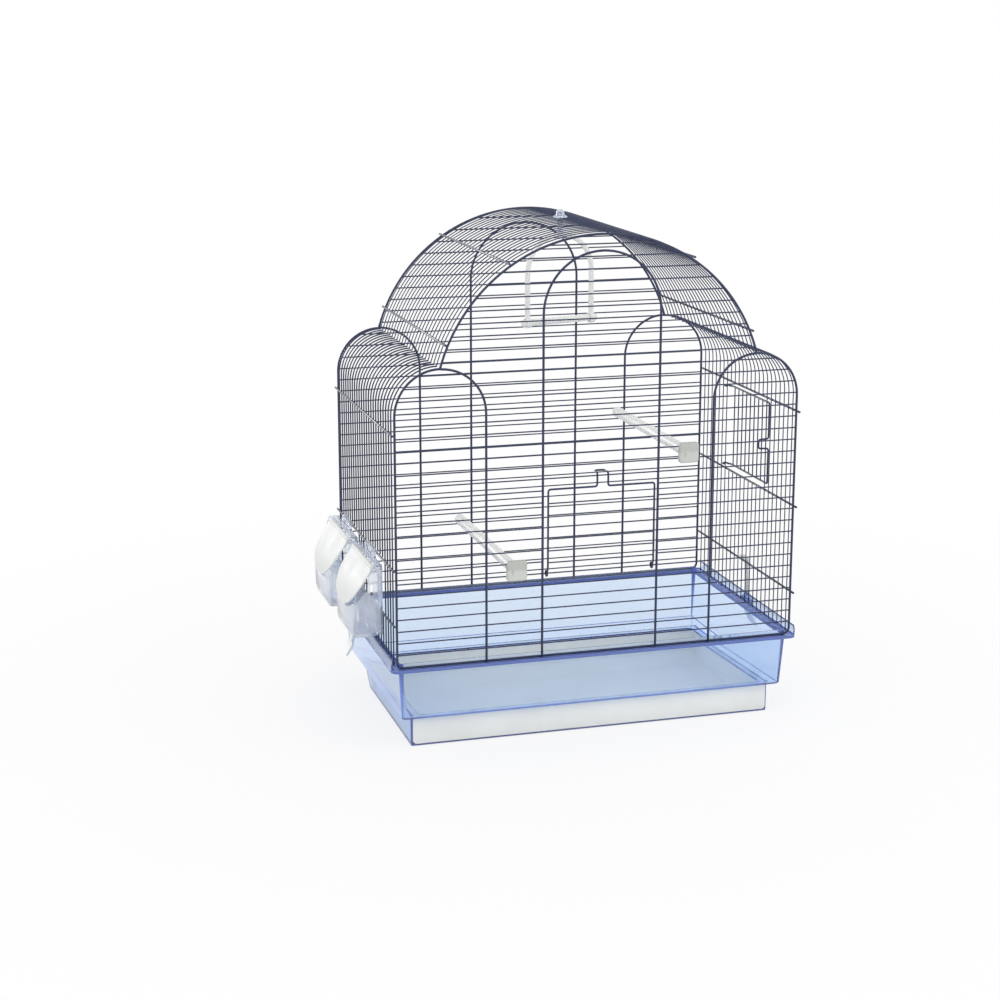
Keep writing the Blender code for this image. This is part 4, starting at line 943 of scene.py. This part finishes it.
def perches(bar_material, cap_material):
    """Bars whose thin stubs go between two cross wires into the caps outside."""
    start, end = FRONT + THICK + THIN, BACK - PERCH_SHORT
    reach = CAP_BACK - CAP_THICKNESS + CAP_FACE + GAP
    profile = [(reach, PERCH_STUB), (start, PERCH_STUB)]
    profile += bar_profile(start, end, PERCH_RADIUS, PERCH_EDGE) + [(end, PERCH_TIP)]
    for name, x, row in PERCH_PLACES:
        z = row_height(row) + ROW_PITCH / 2
        bar = Shape()
        bar.turn((x, 0, z), (0, 1, 0), (0, 0, 1), profile, 40)
        bar.piece(name + "_bar", name, "cage", bar_material, 35)
        perch_cap(name + "_cap", x, z, cap_material)


def perch_cap(name, x, z, material):
    """Square cushion-edged cap with a small oval dimple low on its front."""
    front = CAP_BACK - CAP_THICKNESS
    rings = [(front + depth, inset) for depth, inset in CAP_EDGE]
    rings += [(CAP_BACK - 0.0004, 0.0), (CAP_BACK, 0.0004)]
    shape = Shape()
    shape.loft([
        upright_rectangle(CAP_HALF - inset, CAP_HALF - inset, CAP_CORNER - inset, y, (x, z))
        for y, inset in rings
    ])
    obj = shape.object(name + "_shape", material)
    bore, radius = Shape(), PERCH_STUB + GAP
    profile = [(front + CAP_FACE, radius), (CAP_BACK + 0.002, radius)]
    bore.turn((x, 0, z), (0, 1, 0), (0, 0, 1), profile)
    combine(obj, bore.object("bore", material), "DIFFERENCE")
    dimple = Shape()
    angles = [math.pi * (k + 0.5) / 12 for k in range(12)]
    profile = [(-DIMPLE[0] * math.cos(a), DIMPLE[1] * math.sin(a)) for a in angles]
    centre = (x + DIMPLE_SHIFT[0], front - 0.0002, z + DIMPLE_SHIFT[1])
    dimple.turn(centre, (0, 0, 1), (1, 0, 0), profile, 24)
    combine(obj, dimple.object("dimple", material), "DIFFERENCE")
    sharpen(obj, 35)
    return register(obj, name, "cage")


def swing_hook(material):
    """Knob on the roof wires, with a stem and an eye under them."""
    rest = ROOF_TOP + SIDE_OUT + THIN + GAP - SWING_TOP.z
    profile = [(0.0040, 0.0028)] + [(rest + height, radius) for height, radius in KNOB]
    hook, ring = Shape(), Shape()
    hook.turn(SWING_TOP, (0, 0, 1), SWING_ALONG, profile, 36)
    obj = hook.object("swing_hook_shape", material)
    profile = ring_profile(BOW_RADIUS + 0.0006, BOW_RADIUS + 0.0024, 0.0018)
    ring.turn(SWING_TOP, SWING_ALONG, (0, 0, 1), profile, closed=True)
    combine(obj, ring.object("eye", material), "UNION")
    sharpen(obj, 35)
    return register(obj, "swing_hook", "cage")


def swing_bow(material):
    """Bent bow with a ring at each foot."""
    foot = Vector((0, 0, -SWING_DROP + ROD_RADIUS + 0.0006))
    path = [SWING_TOP - SWING_ALONG * SWING_HALF + foot]
    for along, up in arc((0, 0), SWING_HALF, 180, 0, 32):
        path.append(SWING_TOP + SWING_ALONG * along + Vector((0, 0, up - SWING_HALF)))
    path.append(SWING_TOP + SWING_ALONG * SWING_HALF + foot)
    bow = Shape()
    bow.wire(path, Vector((0, 0, 1)).cross(SWING_ALONG), BOW_RADIUS, 20)
    obj = bow.object("swing_bow_shape", material)
    profile = ring_profile(ROD_RADIUS + GAP, ROD_RADIUS + 0.0020, 0.0028)
    for sign in (-1, 1):
        ring = Shape()
        centre = ROD_CENTRE + SWING_ALONG * (sign * SWING_HALF)
        ring.turn(centre, SWING_ALONG, (0, 0, 1), profile, closed=True)
        combine(obj, ring.object("ring", material), "UNION")
    sharpen(obj, 40)
    return register(obj, "swing_bow", "swing")


def swing_rod(material):
    rod = Shape()
    profile = bar_profile(-ROD_HALF, ROD_HALF, ROD_RADIUS, ROD_EDGE)
    rod.turn(ROD_CENTRE, SWING_ALONG, (0, 0, 1), profile)
    return rod.piece("swing_rod_shape", "swing_rod", "swing", material, 40)


# Stage, light and camera


def seen_directly(tree):
    """1 for what is seen straight on, in a reflection or through clear plastic."""
    path = add_node(tree, "LightPath", {})
    total = path.outputs["Is Camera Ray"]
    for name in ("Is Transmission Ray", "Is Glossy Ray"):
        total = calculate(tree, "ADD", total, path.outputs[name])
        total.node.use_clamp = True
    return total


def floor_material():
    """White floor: a soft shadow near the object, plain white further out."""
    made, tree, shader = new_material("floor_white")
    plain = {"Base Color": (0.86, 0.86, 0.87, 1), "Roughness": 0.9, "Specular IOR Level": 0.0}
    connect(tree, shader, plain)
    distance = add_node(tree, "VectorMath", {0: coordinates(tree)})
    distance.operation = "LENGTH"
    share = map_range(tree, distance.outputs["Value"], 0.30, 1.10, 0.80, 1.0)
    share.interpolation_type = "SMOOTHSTEP"
    seen = calculate(tree, "MULTIPLY", share.outputs["Result"], seen_directly(tree))
    glow = add_node(tree, "Emission", {})
    mix = add_node(tree, "MixShader", {0: seen, 1: shader.outputs[0], 2: glow.outputs[0]})
    connect(tree, output_of(tree), {"Surface": mix.outputs[0]})
    return made


def stage():
    bm = bmesh.new()
    bmesh.ops.create_grid(bm, x_segments=1, y_segments=1, size=12.0)
    mesh = bpy.data.meshes.new("floor")
    bm.to_mesh(mesh)
    bm.free()
    mesh.materials.append(floor_material())
    floor = bpy.data.objects.new("floor", mesh)
    bpy.context.scene.collection.objects.link(floor)
    # A little under the housing, so that the two faces don't coincide
    floor.location.z = -0.0002


def area_light(name, place, target, size, power):
    data = bpy.data.lights.new(name, "AREA")
    data.shape = "RECTANGLE"
    data.size = data.size_y = size
    data.energy = power
    obj = bpy.data.objects.new(name, data)
    obj.location = place
    obj.rotation_euler = (Vector(target) - Vector(place)).to_track_quat("-Z", "Y").to_euler()
    bpy.context.scene.collection.objects.link(obj)
    return obj


def light():
    """The light at the back only puts glints on glossy surfaces, such as the wires and the feeders.
    """
    made = {values[0]: area_light(*values) for values in LIGHTS}
    made["back"].visible_diffuse = False
    made["back"].visible_transmission = False
    studio = bpy.data.worlds.new("studio")
    studio.use_nodes = True
    tree = studio.node_tree
    strength = map_range(tree, seen_directly(tree), 0.0, 1.0, 0.95, 1.0).outputs["Result"]
    connect(tree, tree.nodes["Background"], {"Color": (1, 1, 1, 1), "Strength": strength})
    bpy.context.scene.world = studio


def camera():
    data = bpy.data.cameras.new("camera")
    data.sensor_width = 36.0
    data.lens = CAMERA_LENS
    data.clip_end = 50.0
    obj = bpy.data.objects.new("camera", data)
    obj.location = CAMERA_PLACE
    obj.rotation_euler = (math.radians(90 - CAMERA_DOWN), 0, math.radians(-CAMERA_LEFT))
    bpy.context.scene.collection.objects.link(obj)
    bpy.context.scene.camera = obj


# Assembly


def wire_body():
    """The cage's wires. The walls leave room for the feeders' windows and the side door."""
    wire = coated_wire()
    panel("front_panel", FRONT, FRONT_DOOR_ROWS, wire)
    panel("back_panel", BACK, None, wire)
    windows = {}
    for number in range(1, SIDE_SPACES):
        if min(abs(number * SIDE_PITCH - place) for place in FEEDER_PLACES) < FEEDER_ROOM:
            windows[number] = LEFT_LONG_WIRES[:2]
    doorway = dict.fromkeys(range(SIDE_DOOR_WIRES[0] + 1, SIDE_DOOR_WIRES[1]), RIGHT_LONG_WIRES[1:])
    wall("left_wall", -1, LEFT_LONG_WIRES, LEFT_SIDE_WIRE, windows, wire)
    wall("right_wall", 1, RIGHT_LONG_WIRES, SIDE_WIRE, doorway, wire)
    roof(wire)
    front_door(wire)
    side_door(wire)


def mouldings(frame):
    """Everything that is made of plastic."""
    white = white_plastic()
    opal = clear_plastic("opal_moulding", OPAL, (0.45, 0.6), 0.15, OPAL_SHADE, specular=0.15)
    clear = clear_plastic("clear_moulding", CLEAR, (0.05, 0.14), 0.80, CLEAR_SHADE, CLEAR_DEPTH)
    blue = clear_plastic("blue_moulding", BLUE, (0.04, 0.10), 1.0, BLUE_SHADE, BLUE_DEPTH)
    paint_edge_shade(blue)
    tray(blue)
    drawer(white)
    perches(white, two_tone_cap())
    swing_hook(clear)
    swing_bow(white)
    swing_rod(white)
    for feeder in ("feeder_front", "feeder_rear"):
        softened(frame, feeder + "_plate", "cage", clear, 0.0004)
        softened(frame, feeder + "_cup", feeder + "_cup", clear, 0.0004)
        softened(frame, feeder + "_hood", feeder + "_hood", opal, 0.0004)
    for clip in ("clip_left", "clip_right"):
        softened(frame, clip, clip, white, 0.0005)


def main():
    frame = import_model()
    bpy.context.scene.view_settings.view_transform = "Standard"
    wire_body()
    mouldings(frame)
    stage()
    light()
    camera()
    bpy.context.view_layer.update()


main()
